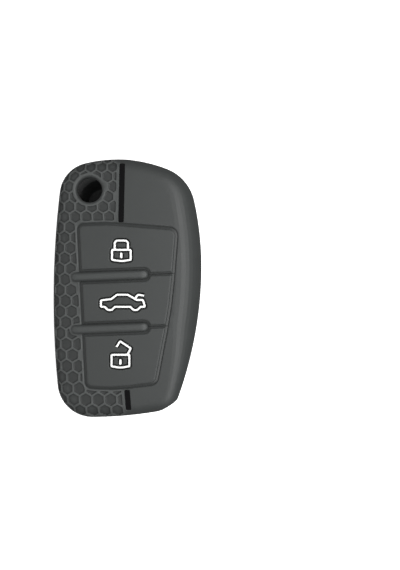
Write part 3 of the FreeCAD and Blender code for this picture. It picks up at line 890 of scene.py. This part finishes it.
@dataclass
class Symbols:
    """The white symbols: padlocks, shut and open, and a car with its boot lid raised.

    Their lines are given from the symbol's centre, in millimetres.
    """

    top: float = 18.25
    depth: float = 0.5
    rise: float = 0.06
    stroke: float = 0.56
    moat: float = 0.45
    bend: float = 0.28
    stroke_edge: float = 0.12
    trench_voxel: float = 0.08
    overshoot: float = 1.0
    centres: dict[Button, Point] = field(
        default_factory=lambda: {
            Button.LOCK: (-1.2, 9.4),
            Button.BOOT: (-0.7, -4.1),
            Button.UNLOCK: (-1.45, -21.1),
        }
    )
    lock_width: dict[Button, float] = field(
        default_factory=lambda: {Button.LOCK: 5.35, Button.UNLOCK: 5.1}
    )
    lock_top: dict[Button, float] = field(
        default_factory=lambda: {Button.LOCK: 1.6, Button.UNLOCK: 2.05}
    )
    lock_bottom: float = -1.25
    lock_belly: float = 0.42
    belly_bend: float = 6.0
    shackle_width: float = 3.8
    shackle_height: float = 2.65
    shackle_bend: float = 0.9
    open_shackle: tuple[Point, ...] = ((-1.13, 4.32), (-0.09, 5.95), (2.97, 3.86), (1.95, 2.05))
    keyhole_length: float = 1.0
    keyhole_width: float = 0.62
    car_top: tuple[Point, ...] = (
        (6.3, -1.22),
        (5.65, 0.75),
        (3.9, 0.75),
        (1.35, 2.25),
        (-1.75, 2.25),
        (-3.35, 1.0),
        (-6.35, 0.63),
        (-6.35, -1.22),
    )
    wheels: tuple[float, float] = (-3.8, 3.55)
    wheel_span: float = 2.9
    wheel_drop: float = 1.55
    wheel_bend: float = 1.3
    boot_lid: tuple[Point, ...] = ((3.45, 1.2), (4.25, 2.3), (6.05, 1.95))
    lid_bend: float = 0.9

    def padlock_body(self, button: Button) -> list[Point]:
        """The centre line of a padlock's body.

        Args:
            button: The button.

        Returns:
            The line, from the symbol's centre.
        """
        half, low, high = self.lock_width[button] / 2, self.lock_bottom, self.lock_top[button]
        left = [(-half, high, self.bend), (-half, low, self.bend)]
        right = [(half, low, self.bend), (half, high, self.bend)]
        return rounded(left + [(0, low - self.lock_belly, self.belly_bend)] + right)

    def shut_shackle(self) -> list[Point]:
        """The centre line of the shut padlock's shackle.

        Returns:
            The line, from the symbol's centre.
        """
        half, low = self.shackle_width / 2, self.lock_top[Button.LOCK]
        high, bend = low + self.shackle_height, self.shackle_bend
        corners = [(half, low, 0), (half, high, bend), (-half, high, bend), (-half, low, 0)]
        return rounded(corners, closed=False)

    def car_body(self) -> list[Point]:
        """The centre line of the car, with its wheels below the sill.

        Returns:
            The line, from the symbol's centre.
        """
        sill = self.car_top[0][1]
        corners = [(x, y, self.bend) for x, y in self.car_top]
        for wheel in self.wheels:
            corners.append((wheel - self.wheel_span / 2, sill, self.bend))
            corners.append((wheel, sill - self.wheel_drop, self.wheel_bend))
            corners.append((wheel + self.wheel_span / 2, sill, self.bend))
        return rounded(corners)

    def strokes(self, button: Button) -> list[tuple[list[Point], bool]]:
        """The centre lines of a button's symbol, each with whether it is closed.

        Args:
            button: The button.

        Returns:
            The lines on the panel.
        """
        if button is Button.BOOT:
            lid = rounded([(x, y, self.lid_bend) for x, y in self.boot_lid], closed=False)
            lines = [(self.car_body(), True), (lid, False)]
        elif button is Button.LOCK:
            lines = [(self.padlock_body(button), True), (self.shut_shackle(), False)]
        else:
            swung = rounded([(x, y, self.bend) for x, y in self.open_shackle], closed=False)
            lines = [(self.padlock_body(button), True), (swung, False)]
        x, y = self.centres[button]
        return [([(x + px, y + py) for px, py in line], closed) for line, closed in lines]

    def profile(self, width: float, low: float, high: float, bend: float) -> bpy.types.Object:
        """The cross-section of a stroke, as a curve.

        Args:
            width: Its width.
            low: The height of its foot.
            high: The height of its top.
            bend: The rounding of its corners.

        Returns:
            The curve.
        """
        half = width / 2
        corners = [(-half, low, bend), (half, low, bend), (half, high, bend), (-half, high, bend)]
        line = rounded(corners, step=math.radians(23))
        piece = Bench.ring("stroke_profile", level(line, 0), "NOTHING")
        Bench.take(piece)
        bpy.ops.object.convert(target="CURVE")
        return bpy.context.object

    def sweep(
        self, name: str, line: list[Point], closed: bool, profile: bpy.types.Object
    ) -> bpy.types.Object:
        """Draws a cross-section along a centre line.

        Args:
            name: The piece's name.
            line: The centre line.
            closed: Whether it is closed.
            profile: The cross-section.

        Returns:
            The stroke.
        """
        piece = Bench.ring(name, level(line, 0), "NOTHING")
        if not closed:
            with Bench.editing(piece) as mesh:
                bpy.ops.mesh.select_all(action="DESELECT")
                mesh.verts.ensure_lookup_table()
                ends = {mesh.verts[0], mesh.verts[len(line) - 1]}
                for edge in mesh.edges:
                    edge.select_set(set(edge.verts) == ends)
                bmesh.update_edit_mesh(piece.data)
                bpy.ops.mesh.delete(type="EDGE")
        Bench.take(piece)
        bpy.ops.object.convert(target="CURVE")
        piece = bpy.context.object
        piece.data.dimensions = "2D"
        piece.data.fill_mode = "NONE"
        piece.data.bevel_mode = "OBJECT"
        piece.data.bevel_object = profile
        piece.data.use_fill_caps = True
        Bench.take(piece)
        bpy.ops.object.convert(target="MESH")
        piece = Bench.named(name)
        with Bench.editing(piece):
            bpy.ops.mesh.select_all(action="SELECT")
            bpy.ops.mesh.remove_doubles(threshold=DOUBLES)
            bpy.ops.mesh.normals_make_consistent(inside=False)
        return piece

    def drawn(self, name: str, button: Button, grow: float, high: float) -> bpy.types.Object:
        """All the strokes of a symbol as one piece.

        Args:
            name: The piece's name.
            button: The button.
            grow: How much wider than the white strokes they are, on each side.
            high: The height of their tops.

        Returns:
            The piece.
        """
        low = self.top - self.depth - grow / 2
        section = self.profile(self.stroke + 2 * grow, low, high, self.stroke_edge)
        parts = [self.sweep(name, line, closed, section) for line, closed in self.strokes(button)]
        bpy.data.objects.remove(section)
        Bench.take(*parts)
        bpy.ops.object.join()
        return Bench.named(name)

    def keyhole(self, name: str, button: Button, grow: float, high: float) -> bpy.types.Object:
        """A padlock's keyhole.

        Args:
            name: The piece's name.
            button: The button.
            grow: How much wider than the white keyhole it is, on each side.
            high: The height of its top.

        Returns:
            The piece.
        """
        x, y = self.centres[button]
        half = self.keyhole_length / 2
        line = oblong((x, y - half), (x, y + half), self.keyhole_width / 2 + grow)
        return Bench.prism(name, line, self.top - self.depth - grow / 2, high)

    def build(self, button: Button) -> list[bpy.types.Object]:
        """The white pieces of a button's symbol.

        Args:
            button: The button.

        Returns:
            The pieces, named after their button.
        """
        high = self.top + self.rise
        pieces = [self.drawn(f"{button.value}_symbol", button, 0.0, high)]
        if button is not Button.BOOT:
            pieces.append(self.keyhole(f"{button.value}_keyhole", button, 0.0, high))
        return pieces

    def trenches(self, button: Button) -> list[bpy.types.Object]:
        """The tools that cut a symbol's trenches into its pad.

        Args:
            button: The button.

        Returns:
            The tools.
        """
        high = self.top + self.overshoot
        tools = [self.drawn("trench", button, self.moat, high)]
        Bench.apply(tools[0], "REMESH", mode="VOXEL", voxel_size=self.trench_voxel)
        if button is not Button.BOOT:
            tools.append(self.keyhole("keyhole_trench", button, self.moat, high))
        return tools


# Stripes


@dataclass
class Stripe:
    """One black stripe on the floor of its groove.

    Attributes:
        name: Its name.
        face: The face that it lies in.
        places: The points along its middle.
        width: Its width.
        thickness: Its thickness.
        groove: The depth of its groove.
        clearance: The gap beside it.
        lip: How deep the groove's flare starts.
        flare: How far the groove has widened, and how far it has risen, where its tool ends.
        corner: The rounding of its corners.
        bow: The radius of its bends.
        depth: The cover's depth.
    """

    name: str
    face: Face
    places: tuple[Point, ...]
    width: float = 1.4
    thickness: float = 0.5
    groove: float = 0.8
    clearance: float = 0.05
    lip: float = 0.15
    flare: Point = (0.5, 0.6)
    corner: float = 0.3
    bow: float = 300.0
    depth: float = 18.0

    def outline(self) -> list[Point]:
        """The stripe's outline, anticlockwise, with small round corners.

        Returns:
            The outline.
        """
        inner = len(self.places) - 2
        bends = [self.corner, *[self.bow] * inner, self.corner]
        sides = [
            [(x + reach, y, bend) for (x, y), bend in zip(self.places, bends)]
            for reach in (-self.width / 2, self.width / 2)
        ]
        return rounded(sides[0] + sides[1][::-1])

    def groove_tool(self) -> bpy.types.Object:
        """The tool that cuts the groove, a little flared at the face.

        Returns:
            The tool.
        """
        line = grown(self.outline(), self.clearance)
        wider, higher = self.flare
        floor, lip = self.groove, self.lip
        if self.face is Face.FRONT:
            floor, lip = self.depth - floor, self.depth - lip
        past = lip + math.copysign(higher, lip - floor)
        rings = [level(line, floor), level(line, lip), level(grown(line, wider), past)]
        return Bench.loft("groove", rings)

    def build(self) -> bpy.types.Object:
        """The stripe as a plain strip."""
        low = self.depth - self.groove if self.face is Face.FRONT else self.groove - self.thickness
        return Bench.prism(self.name, self.outline(), low, low + self.thickness)


STRIPES = (
    Stripe("front_upper_inlay", Face.FRONT, ((-1.0, 35.9), (-1.37, 19.0))),
    Stripe("front_lower_inlay", Face.FRONT, ((0.35, -29.3), (0.82, -35.0))),
    Stripe("back_upper_inlay", Face.BACK, ((-2.4, 35.4), (-2.4, 30.4))),
    Stripe("back_lower_inlay", Face.BACK, ((-2.3, 19.2), (-1.8, -6.0), (-0.3, -34.9))),
)


# Sleeve


@dataclass
class Sleeve:
    """The hollow sleeve: rolled edges, openings and the honeycomb grip.

    The outline's sides go round anticlockwise from the right, each an arc with its radius and the
    place of its peak, and the bends join them. All lengths are in millimetres.
    """

    panel: ButtonPanel
    length: float = 76.0
    width: float = 43.6
    depth: float = 18.0
    wall: float = 2.0
    radii: tuple[float, ...] = (92.0, 42.0, 270.0, 115.0, 113.0)
    peaks: tuple[float, ...] = (6.5, -2.5, -3.0, -10.5, 6.5)
    bends: tuple[float, ...] = (12.5, 10.0, 10.5, 6.0)
    roll: float = 4.0
    roll_fade: Point = (-31.0, -12.0)
    pocket_bevel: float = 3.2
    right_roll: dict[Face, float] = field(default_factory=lambda: {Face.FRONT: 7.0, Face.BACK: 8.0})
    notch: Point = (15.3, -32.5)
    notch_angle: float = math.radians(31)
    notch_length: float = 8.4
    notch_fade: float = math.radians(9)
    notch_radius: float = 14.0
    notch_reach: float = 45.0
    ring_slot: Point = (7.6, 6.0)
    blade_slot: float = 9.0
    blade_slot_bottom: float = -26.0
    blade_slot_right: float = -3.5
    hole: Spot = (-10.5, 28.3, 3.6)
    hole_rim: float = 0.9
    hole_border: float = 0.3
    window: tuple[Point, Point] = ((-8.2, 25.0), (3.6, 25.0))
    window_half: float = 3.7
    window_bevel: float = 0.5
    pitch: float = 3.22
    row: float = 2.92
    rib: float = 0.48
    cell_depth: float = 0.42
    cell_origin: Point = (-16.15, 23.4)
    cell_growth: float = 0.006
    cell_lean: float = 0.063
    border: float = 0.9
    panel_border: float = 0.65
    rim: float = 0.7
    least_share: float = 0.16
    hollow: Point = (0.3, 1.4)
    cell_shade: float = 0.45
    cell_fade: Point = (0.105, 0.378)
    rib_fade: Point = (0.24, 0.96)
    # Share of painted highlight on the raised bars.
    bar_highlight: float = 0.35
    bar_fade: Point = (0.2, 0.8)
    overshoot: float = 1.0
    grips: list[BVHTree] = field(default_factory=list)

    @property
    def even_row(self) -> float:
        """The distance between the rows of an even honeycomb."""
        return self.pitch * math.sqrt(3) / 2

    def arcs(self) -> list[Arc]:
        """The outline as arcs.

        Returns:
            The centre, radius, first and last angle of each arc.
        """
        wide, long = self.width / 2, self.length / 2
        reach = [wide, long, -wide, -long, wide]
        centres: list[Point] = []
        for k, (radius, peak) in enumerate(zip(self.radii, self.peaks)):
            middle = reach[k] - math.copysign(radius, reach[k])
            centres.append((peak, middle) if k in (1, 3) else (middle, peak))
        arcs: list[Arc] = []
        begin = 0.0
        quarters = ((1, 1), (-1, 1), (-1, -1), (1, -1))
        for k, (bend, toward) in enumerate(zip(self.bends, quarters)):
            near, far = self.radii[k] - bend, self.radii[k + 1] - bend
            middle = self.bend_centre(centres[k], centres[k + 1], near, far, toward)
            end = heading(centres[k], middle)
            arcs.append((centres[k], self.radii[k], begin, end))
            begin = heading(centres[k + 1], middle)
            arcs.append((middle, bend, end, begin))
        return arcs + [(centres[-1], self.radii[-1], begin, math.tau)]

    @staticmethod
    def bend_centre(first: Point, second: Point, near: float, far: float, toward: Point) -> Point:
        """The centre of the corner between two sides.

        Args:
            first: The centre of one side's circle.
            second: The centre of the next side's circle.
            near: The corner centre's distance from the first.
            far: Its distance from the second.
            toward: The side on which it lies.

        Returns:
            The centre.
        """
        start, apart = Vector(first), Vector(second) - Vector(first)
        along = (near**2 - far**2 + apart.length_squared) / (2 * apart.length)
        axis = apart.normalized()
        across = Vector((-axis.y, axis.x)) * math.sqrt(near**2 - along**2)
        choices = [start + axis * along + across, start + axis * along - across]
        return tuple(max(choices, key=lambda spot: spot.dot(Vector(toward))))

    def samples(self, spacing: float = 0.8) -> list[tuple[Point, float, float]]:
        """Points along the outline.

        Args:
            spacing: About how far apart they are.

        Returns:
            The centre, radius and angle of each point.
        """
        spots = []
        for centre, radius, begin, end in self.arcs():
            count = max(2, math.ceil((end - begin) * radius / spacing))
            spots += [(centre, radius, begin + (end - begin) * n / count) for n in range(count)]
        return spots

    def outline(self, inset: float) -> list[Point]:
        """The outline, drawn in by a distance."""
        return [polar(centre, radius - inset, angle) for centre, radius, angle in self.samples()]

    def edge_roll(self, place: Point, face: Face) -> float:
        """The rounding of a face's edge, wider on the right and narrow again at its lower corner.

        Args:
            place: A point on the outline.
            face: The face.

        Returns:
            The radius.
        """
        low, high = self.roll_fade
        across = min(max(place[0] / (self.width / 2), 0), 1)
        along = min(max((place[1] - low) / (high - low), 0), 1)
        return self.roll + (self.right_roll[face] - self.roll) * across * along

    def pocket(self) -> bpy.types.Object:
        """The tool for the room inside, with bevelled edges.

        Returns:
            The tool.
        """
        bevel, low, high = self.pocket_bevel, self.wall, self.depth - self.wall
        wide, narrow = self.outline(self.wall), self.outline(self.wall + bevel)
        rings = [level(narrow, low), level(wide, low + bevel)]
        rings += [level(wide, high - bevel), level(narrow, high)]
        return Bench.loft("key_pocket", rings)

    def rolled(self, name: str, inset: float, steps: int = 9) -> bpy.types.Object:
        """The sleeve as a full block with rolled edges.

        Args:
            name: The piece's name.
            inset: How far it is drawn in on every side.
            steps: The rings on each rolled edge.

        Returns:
            The block.
        """
        rings = []
        for face, order in ((Face.BACK, range(steps + 1)), (Face.FRONT, range(steps, -1, -1))):
            for k in order:
                turn = k / steps * math.pi / 2
                ring = []
                for centre, radius, angle in self.samples():
                    bend = self.edge_roll(polar(centre, radius, angle), face) - inset
                    x, y = polar(centre, radius - inset - bend * (1 - math.sin(turn)), angle)
                    rise = inset + bend * (1 - math.cos(turn))
                    ring.append((x, y, rise if face is Face.BACK else self.depth - rise))
                rings.append(ring)
        return Bench.loft(name, rings)

    def notch_tools(self) -> list[bpy.types.Object]:
        """The tools for the cut-off corner and the key ring's slot through it.

        Returns:
            The tools.
        """
        x, y = self.notch
        end = polar(self.notch, -self.notch_length, self.notch_angle)
        far = polar(self.notch, self.notch_reach, self.notch_angle)
        fade = polar(end, -self.notch_reach, self.notch_fade)
        corners = [(*far, 0), (*end, self.notch_radius), (*fade, 0), (far[0], -self.length, 0)]
        corner = Bench.prism("notch", rounded(corners), -self.wall, self.depth + self.wall)
        long, high = self.ring_slot
        low, inward = (x, y - self.wall), self.notch_angle + math.pi / 2
        near = [polar(low, -long, self.notch_angle), low]
        line = near + [polar(spot, 4 * self.wall, inward) for spot in reversed(near)]
        slot = Bench.prism("ring_slot", line, (self.depth - high) / 2, (self.depth + high) / 2)
        return [corner, slot]

    def blade_tools(self) -> list[bpy.types.Object]:
        """The tools for the blade slot along the left side, round the corner and along the top.

        Returns:
            The tools.
        """
        half, wide, long = self.blade_slot / 2, self.width / 2, self.length / 2
        reach, middle = self.bends[1] + self.wall, self.depth / 2
        bottom, right = self.blade_slot_bottom + half, self.blade_slot_right - half
        low, high = middle - half, middle + half
        left, far = -wide - reach, long + reach
        side = Bench.block("slot_side", (left, bottom, low), (reach - wide, far, high))
        top = Bench.block("slot_top", (left, long - reach, low), (right, far, high))
        across, along = (0, math.pi / 2, 0), (math.pi / 2, 0, 0)
        ends = []
        for turn, place in ((across, (-wide, bottom, middle)), (along, (right, long, middle))):
            bpy.ops.object.select_all(action="DESELECT")
            bpy.ops.mesh.primitive_cylinder_add(
                vertices=48, radius=half, depth=2 * reach, location=place, rotation=turn
            )
            ends.append(Bench.named("slot_end"))
        return [side, top, *ends]

    def hole_tool(self) -> bpy.types.Object:
        """The tool for the round hole with its rounded rim.

        Returns:
            The tool.
        """
        x, y, radius = self.hole
        steps = [(0.0, -2 * self.wall)]
        for turn in (math.radians(15 * k) for k in range(6)):
            grow, rise = 1 - math.cos(turn), math.sin(turn) - 1
            steps.append((self.hole_rim * grow, self.hole_rim * rise))
        grow, rise = steps[-1]
        steps.append((grow + math.sin(turn), rise + math.cos(turn)))
        rings = [level(circle((x, y), radius + grow, 64), self.depth + rise) for grow, rise in steps]
        return Bench.loft("hole", rings)

    def window_tool(self) -> bpy.types.Object:
        """The tool for the oblong window in the back, flared at its rim.

        Returns:
            The tool.
        """
        line = oblong(*self.window, self.window_half, steps=24)
        lip = self.window_bevel
        rings = [level(line, 2 * self.wall), level(line, lip), level(grown(line, 2 * lip), -lip)]
        return Bench.loft("window", rings)

    def even_cells(self, low: float, high: float) -> bpy.types.Object:
        """An even honeycomb of upright cells over the whole sleeve.

        Args:
            low: The height of the cells' feet.
            high: The height of their tops.

        Returns:
            The cells.
        """
        row, (x, y) = self.even_row, self.cell_origin
        across = math.ceil(self.width / self.pitch) + 1
        along = math.ceil(self.length / row / 2) + 1
        left = x - self.pitch * math.ceil((x + self.width / 2) / self.pitch + 1)
        foot = y - 2 * row * math.ceil((y + self.length / 2) / row / 2)
        bpy.ops.object.select_all(action="DESELECT")
        bpy.ops.mesh.primitive_cylinder_add(
            vertices=6,
            radius=(self.pitch - self.rib) / math.sqrt(3),
            depth=high - low,
            location=(left, foot, (low + high) / 2),
        )
        cells = Bench.named("cells")
        Bench.take(cells)
        bpy.ops.object.transform_apply(location=True, rotation=True, scale=True)
        for count, shift in (
            (across, (self.pitch, 0, 0)),
            (2, (self.pitch / 2, row, 0)),
            (along, (0, 2 * row, 0)),
        ):
            Bench.apply(
                cells,
                "ARRAY",
                count=count,
                constant_offset_displace=shift,
                use_relative_offset=False,
                use_constant_offset=True,
            )
        return cells

    def honeycomb(self, face: Face) -> bpy.types.Object:
        """The tool that sinks the cells of the grip into one face.

        Args:
            face: The face.

        Returns:
            The tool: the cells, cut off at the plain areas and ending above the sunk floor.
        """
        past = self.overshoot
        low = self.depth - self.roll - past if face is Face.FRONT else -self.roll
        high = low + 2 * self.roll + past
        cells = self.even_cells(low, high)
        for point in cells.data.vertices:
            point.co.x, point.co.y = self.warped(point.co.x, point.co.y)
        Bench.combine(cells, self.region(face, low - past, high + past), "INTERSECT")
        self.drop_slivers(cells)
        self.grips.append(Bench.surface(cells))
        Bench.combine(cells, self.rolled("cell_floor", self.cell_depth))
        return cells

    def warped(self, x: float, y: float) -> Point:
        """Moves a point of an even honeycomb to its place, as the cells grow toward the foot.

        Args:
            x: The point's place across the cover.
            y: Its place along it.

        Returns:
            Its new place.
        """
        left, top = self.cell_origin
        across, along = (x - left) / self.pitch, (top - y) / self.even_row
        wide = self.pitch * (1 + self.cell_growth * along)
        down = self.row * (along + self.cell_growth * along**2 / 2)
        return left + self.cell_lean * along + across * wide, top - down

    def region(self, face: Face, low: float, high: float) -> bpy.types.Object:
        """The area of the grip on one face, as a block.

        Args:
            face: The face.
            low: The height of its foot.
            high: The height of its top.

        Returns:
            The block, without the plain side and what stands in the grip.
        """
        area = Bench.prism("grip_area", self.outline(self.rim), low, high)
        edge = [
            (x - stripe.width / 2 - self.border, y)
            for stripe in STRIPES
            if stripe.face is face
            for x, y in stripe.places
        ]
        far = self.length
        plain = [[(edge[-1][0], -far), (far, -far), (far, far), (edge[0][0], far)] + edge]
        if face is Face.FRONT:
            x, y, radius = self.hole
            plain.append(grown(self.panel.outline(), self.panel_border))
            plain.append(circle((x, y), radius + self.hole_rim + self.hole_border, 48))
            for height in self.panel.bar_heights:
                plain.append(oblong(*self.panel.bar_ends(height), self.panel.bar_half + self.rib))
        else:
            half = self.window_half + self.window_bevel + self.border
            plain.append(oblong(*self.window, half))
        for line in plain:
            tool = Bench.prism("plain_area", line, low - self.overshoot, high + self.overshoot)
            Bench.combine(area, tool)
        return area

    def drop_slivers(self, cells: bpy.types.Object) -> None:
        """Deletes the cells of which a border left only a sliver.

        Args:
            cells: The cells, cut off at the borders.
        """
        least = self.least_share * (self.pitch - self.rib) ** 2 * math.sqrt(3) / 2
        with Bench.editing(cells) as mesh:
            bpy.ops.mesh.select_all(action="DESELECT")
            left = set(mesh.verts)
            while left:
                group, edge = set(), {left.pop()}
                while edge:
                    point = edge.pop()
                    group.add(point)
                    edge |= {e.other_vert(point) for e in point.link_edges} - group
                left -= group
                sides = {side for point in group for side in point.link_faces}
                if sum(side.calc_area() for side in sides if side.normal.z > FLAT) < least:
                    for point in group:
                        point.select_set(True)
            mesh.select_flush_mode()
            bmesh.update_edit_mesh(cells.data)
            bpy.ops.mesh.delete(type="VERT")

    def build(self) -> bpy.types.Object:
        """Models the sleeve.

        Returns:
            The sleeve with the raised bars on it.
        """
        shell = self.rolled("cover_sleeve", 0.0)
        tools = [self.pocket(), *self.notch_tools(), *self.blade_tools()]
        tools += [self.hole_tool(), self.window_tool(), self.panel.opening()]
        tools += [stripe.groove_tool() for stripe in STRIPES]
        tools += [self.honeycomb(face) for face in Face]
        for tool in tools:
            Bench.combine(shell, tool)
        Bench.take(shell, *self.panel.bars())
        bpy.ops.object.join()
        return shell

    def mark(self, shell: bpy.types.Object) -> None:
        """Marks the softened sleeve: painted shade in cells and hollows, painted highlight on ribs
        and bars.

        Args:
            shell: The sleeve, in millimetres.
        """
        block = self.rolled("sleeve_skin", 0.0)
        skin = Bench.surface(block)
        bpy.data.objects.remove(block)
        depths, gaps = [], []
        for point in shell.data.vertices:
            place, normal, *_ = skin.find_nearest(point.co)
            depths.append((place - point.co).dot(normal))
            gaps.append(min(grip.find_nearest(point.co)[3] for grip in self.grips))
        depth, near = np.array(depths), 1 - eased(np.array(gaps), *self.rib_fade)
        sunk, hollow = eased(depth, *self.cell_fade), eased(depth, *self.hollow)
        raised = eased(-depth, *self.bar_fade)
        Bench.mark(shell, "shade", np.maximum(hollow, self.cell_shade * near * sunk))
        # Painted highlight: ribs near the grip and the raised bars are lightened.
        Bench.mark(shell, "highlight", np.maximum(near * (1 - sunk), self.bar_highlight * raised))


# Studio


@dataclass(frozen=True)
class SoftLamp:
    """A soft light that faces the cover.

    Attributes:
        name: Its name.
        place: Where it hangs, in metres.
        size: The lengths of its sides, in metres.
        power: Its power in watts.
    """

    name: str
    place: Spot
    size: Point
    power: float


@dataclass
class Studio:
    """The pale floor, the soft light and the camera straight above the cover.

    Attributes:
        eye: Where the camera stands, in millimetres.
        sensor: The long side of the camera's frame, in millimetres.
        focal: Its focal length, in millimetres.
        nearest: The nearest that it sees, in metres.
        floor_size: The side of the floor, in metres.
        floor_drop: How far the floor lies below the cover, in metres.
        floor_tints: The floor's two close colours.
        floor_grain: The size of its cloudy patches, in millimetres.
        floor_roughness: The floor's roughness.
        floor_glow: How much the floor shines by itself, as a lit table does.
        lamps: The lamps: at the right, above, and a weak one at the left.
        aim: Where the lamps point, in metres.
        sky: The strength of the even light from all sides.
    """

    eye: Spot = (21.35, 0.93, 139.0)
    sensor: float = 36.0
    focal: float = 36 * 422 / 570
    nearest: float = 0.005
    floor_size: float = 3.0
    floor_drop: float = 0.0002
    floor_tints: tuple[Spot, Spot] = ((0.90, 0.90, 0.90), (0.93, 0.93, 0.93))
    floor_grain: float = 40.0
    floor_roughness: float = 0.9
    floor_glow: float = 0.7
    lamps: tuple[SoftLamp, ...] = (
        SoftLamp("key_lamp", (0.12, 0.0, 0.19), (0.4, 0.1), 0.84),
        SoftLamp("top_lamp", (-0.1, 0.0, 0.48), (0.5, 0.5), 0.7),
        SoftLamp("fill_lamp", (-0.3, 0.0, 0.15), (0.4, 0.2), 0.3),
    )
    aim: Spot = (0.0, 0.0, 0.009)
    sky: float = 0.1

    def floor(self) -> None:
        """Lays the pale floor."""
        bpy.ops.object.select_all(action="DESELECT")
        bpy.ops.mesh.primitive_plane_add(size=self.floor_size, location=(0, 0, -self.floor_drop))
        floor = Bench.named("floor")
        shader = Shader("pale_floor")
        tint = shader.blend(shader.grain(self.floor_grain), *self.floor_tints)
        surface = shader.node(
            "ShaderNodeBsdfPrincipled", Base_Color=tint, Roughness=self.floor_roughness
        )
        surface.inputs["Emission Color"].default_value = (1, 1, 1, 1)
        surface.inputs["Emission Strength"].default_value = self.floor_glow
        shader.node("ShaderNodeOutputMaterial", Surface=surface.outputs["BSDF"])
        floor.data.materials.append(shader.material)
        floor.visible_diffuse = False
        floor.visible_glossy = False

    def hang(self, design: SoftLamp) -> None:
        """Hangs a lamp and turns it to the cover.

        Args:
            design: The lamp.
        """
        bpy.ops.object.select_all(action="DESELECT")
        bpy.ops.object.light_add(type="AREA", location=design.place)
        lamp = bpy.context.object
        lamp.name = design.name
        lamp.data.shape = "RECTANGLE"
        lamp.data.size, lamp.data.size_y = design.size
        lamp.data.energy = design.power
        lamp.visible_camera = False
        ray = Vector(self.aim) - Vector(design.place)
        lamp.rotation_euler = ray.to_track_quat("-Z", "Y").to_euler()

    def light(self) -> None:
        """Hangs the lamps and sets the even light from all sides."""
        for design in self.lamps:
            self.hang(design)
        world = bpy.data.worlds.new("studio")
        world.use_nodes = True
        sky = world.node_tree.nodes["Background"]
        sky.inputs["Color"].default_value = (1, 1, 1, 1)
        sky.inputs["Strength"].default_value = self.sky
        bpy.context.scene.world = world
        bpy.context.scene.view_settings.view_transform = "Standard"

    def camera(self) -> None:
        """Places the camera."""
        bpy.ops.object.select_all(action="DESELECT")
        bpy.ops.object.camera_add(location=[c * MM for c in self.eye], rotation=(0, 0, 0))
        camera = bpy.context.object
        camera.data.lens = self.focal
        camera.data.sensor_width = self.sensor
        camera.data.clip_start = self.nearest
        bpy.context.scene.camera = camera


@dataclass
class KeyFobCover:
    """The whole cover."""

    panel: ButtonPanel = field(default_factory=ButtonPanel)
    symbols: Symbols = field(default_factory=Symbols)
    shell_softness: Softness = Softness(0.12, 3, 195_000)
    pad_softness: Softness = Softness(0.09, 5, 60_000)
    web_softness: Softness = Softness(0.09, 4, 24_000)
    trim_softness: Softness = Softness(0.06, 3, 24_000)
    quick_coarseness: float = 2.5

    def build(self, wardrobe: Wardrobe) -> None:
        """Models and dresses every piece, and mounts all but the webs on their bodies.

        Args:
            wardrobe: Dresses the pieces.
        """
        coarse = 1.0

        def soft(piece: bpy.types.Object, softness: Softness) -> None:
            Bench.soften(piece, replace(softness, voxel=softness.voxel * coarse))

        design = Sleeve(self.panel)
        sleeve = design.build()
        soft(sleeve, self.shell_softness)
        design.mark(sleeve)
        wardrobe.dress(sleeve, GREY, "cover_shell")
        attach(sleeve, "cover")
        for stripe in STRIPES:
            inlay = stripe.build()
            soft(inlay, self.trim_softness)
            wardrobe.dress(inlay, BLACK, stripe.name.replace("inlay", "stripe"))
            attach(inlay, "cover")
        for button in Button:
            name = button.value
            pad = self.panel.pad(button, self.symbols.trenches(button))
            soft(pad, self.pad_softness)
            self.panel.shade(pad, self.panel.pad_shade)
            wardrobe.dress(pad, GREY, f"{name}_button_pad")
            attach(pad, f"{name}_button")
            for symbol, suffix in zip(self.symbols.build(button), ("", "_keyhole")):
                soft(symbol, self.trim_softness)
                wardrobe.dress(symbol, WHITE, f"{name}_icon{suffix}")
                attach(symbol, f"{name}_button")
            web = self.panel.web(button)
            soft(web, self.web_softness)
            self.panel.shade(web, self.panel.web_shade)
            wardrobe.dress(web, GREY, f"{name}_button_web")
            self.panel.join(web, button)


def main() -> None:
    """Builds the cover and the studio."""
    logging.basicConfig(level=logging.INFO, format="%(message)s")
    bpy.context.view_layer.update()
    KeyFobCover().build(Wardrobe())
    studio = Studio()
    studio.floor()
    studio.light()
    studio.camera()


if __name__ == "__main__":
    main()
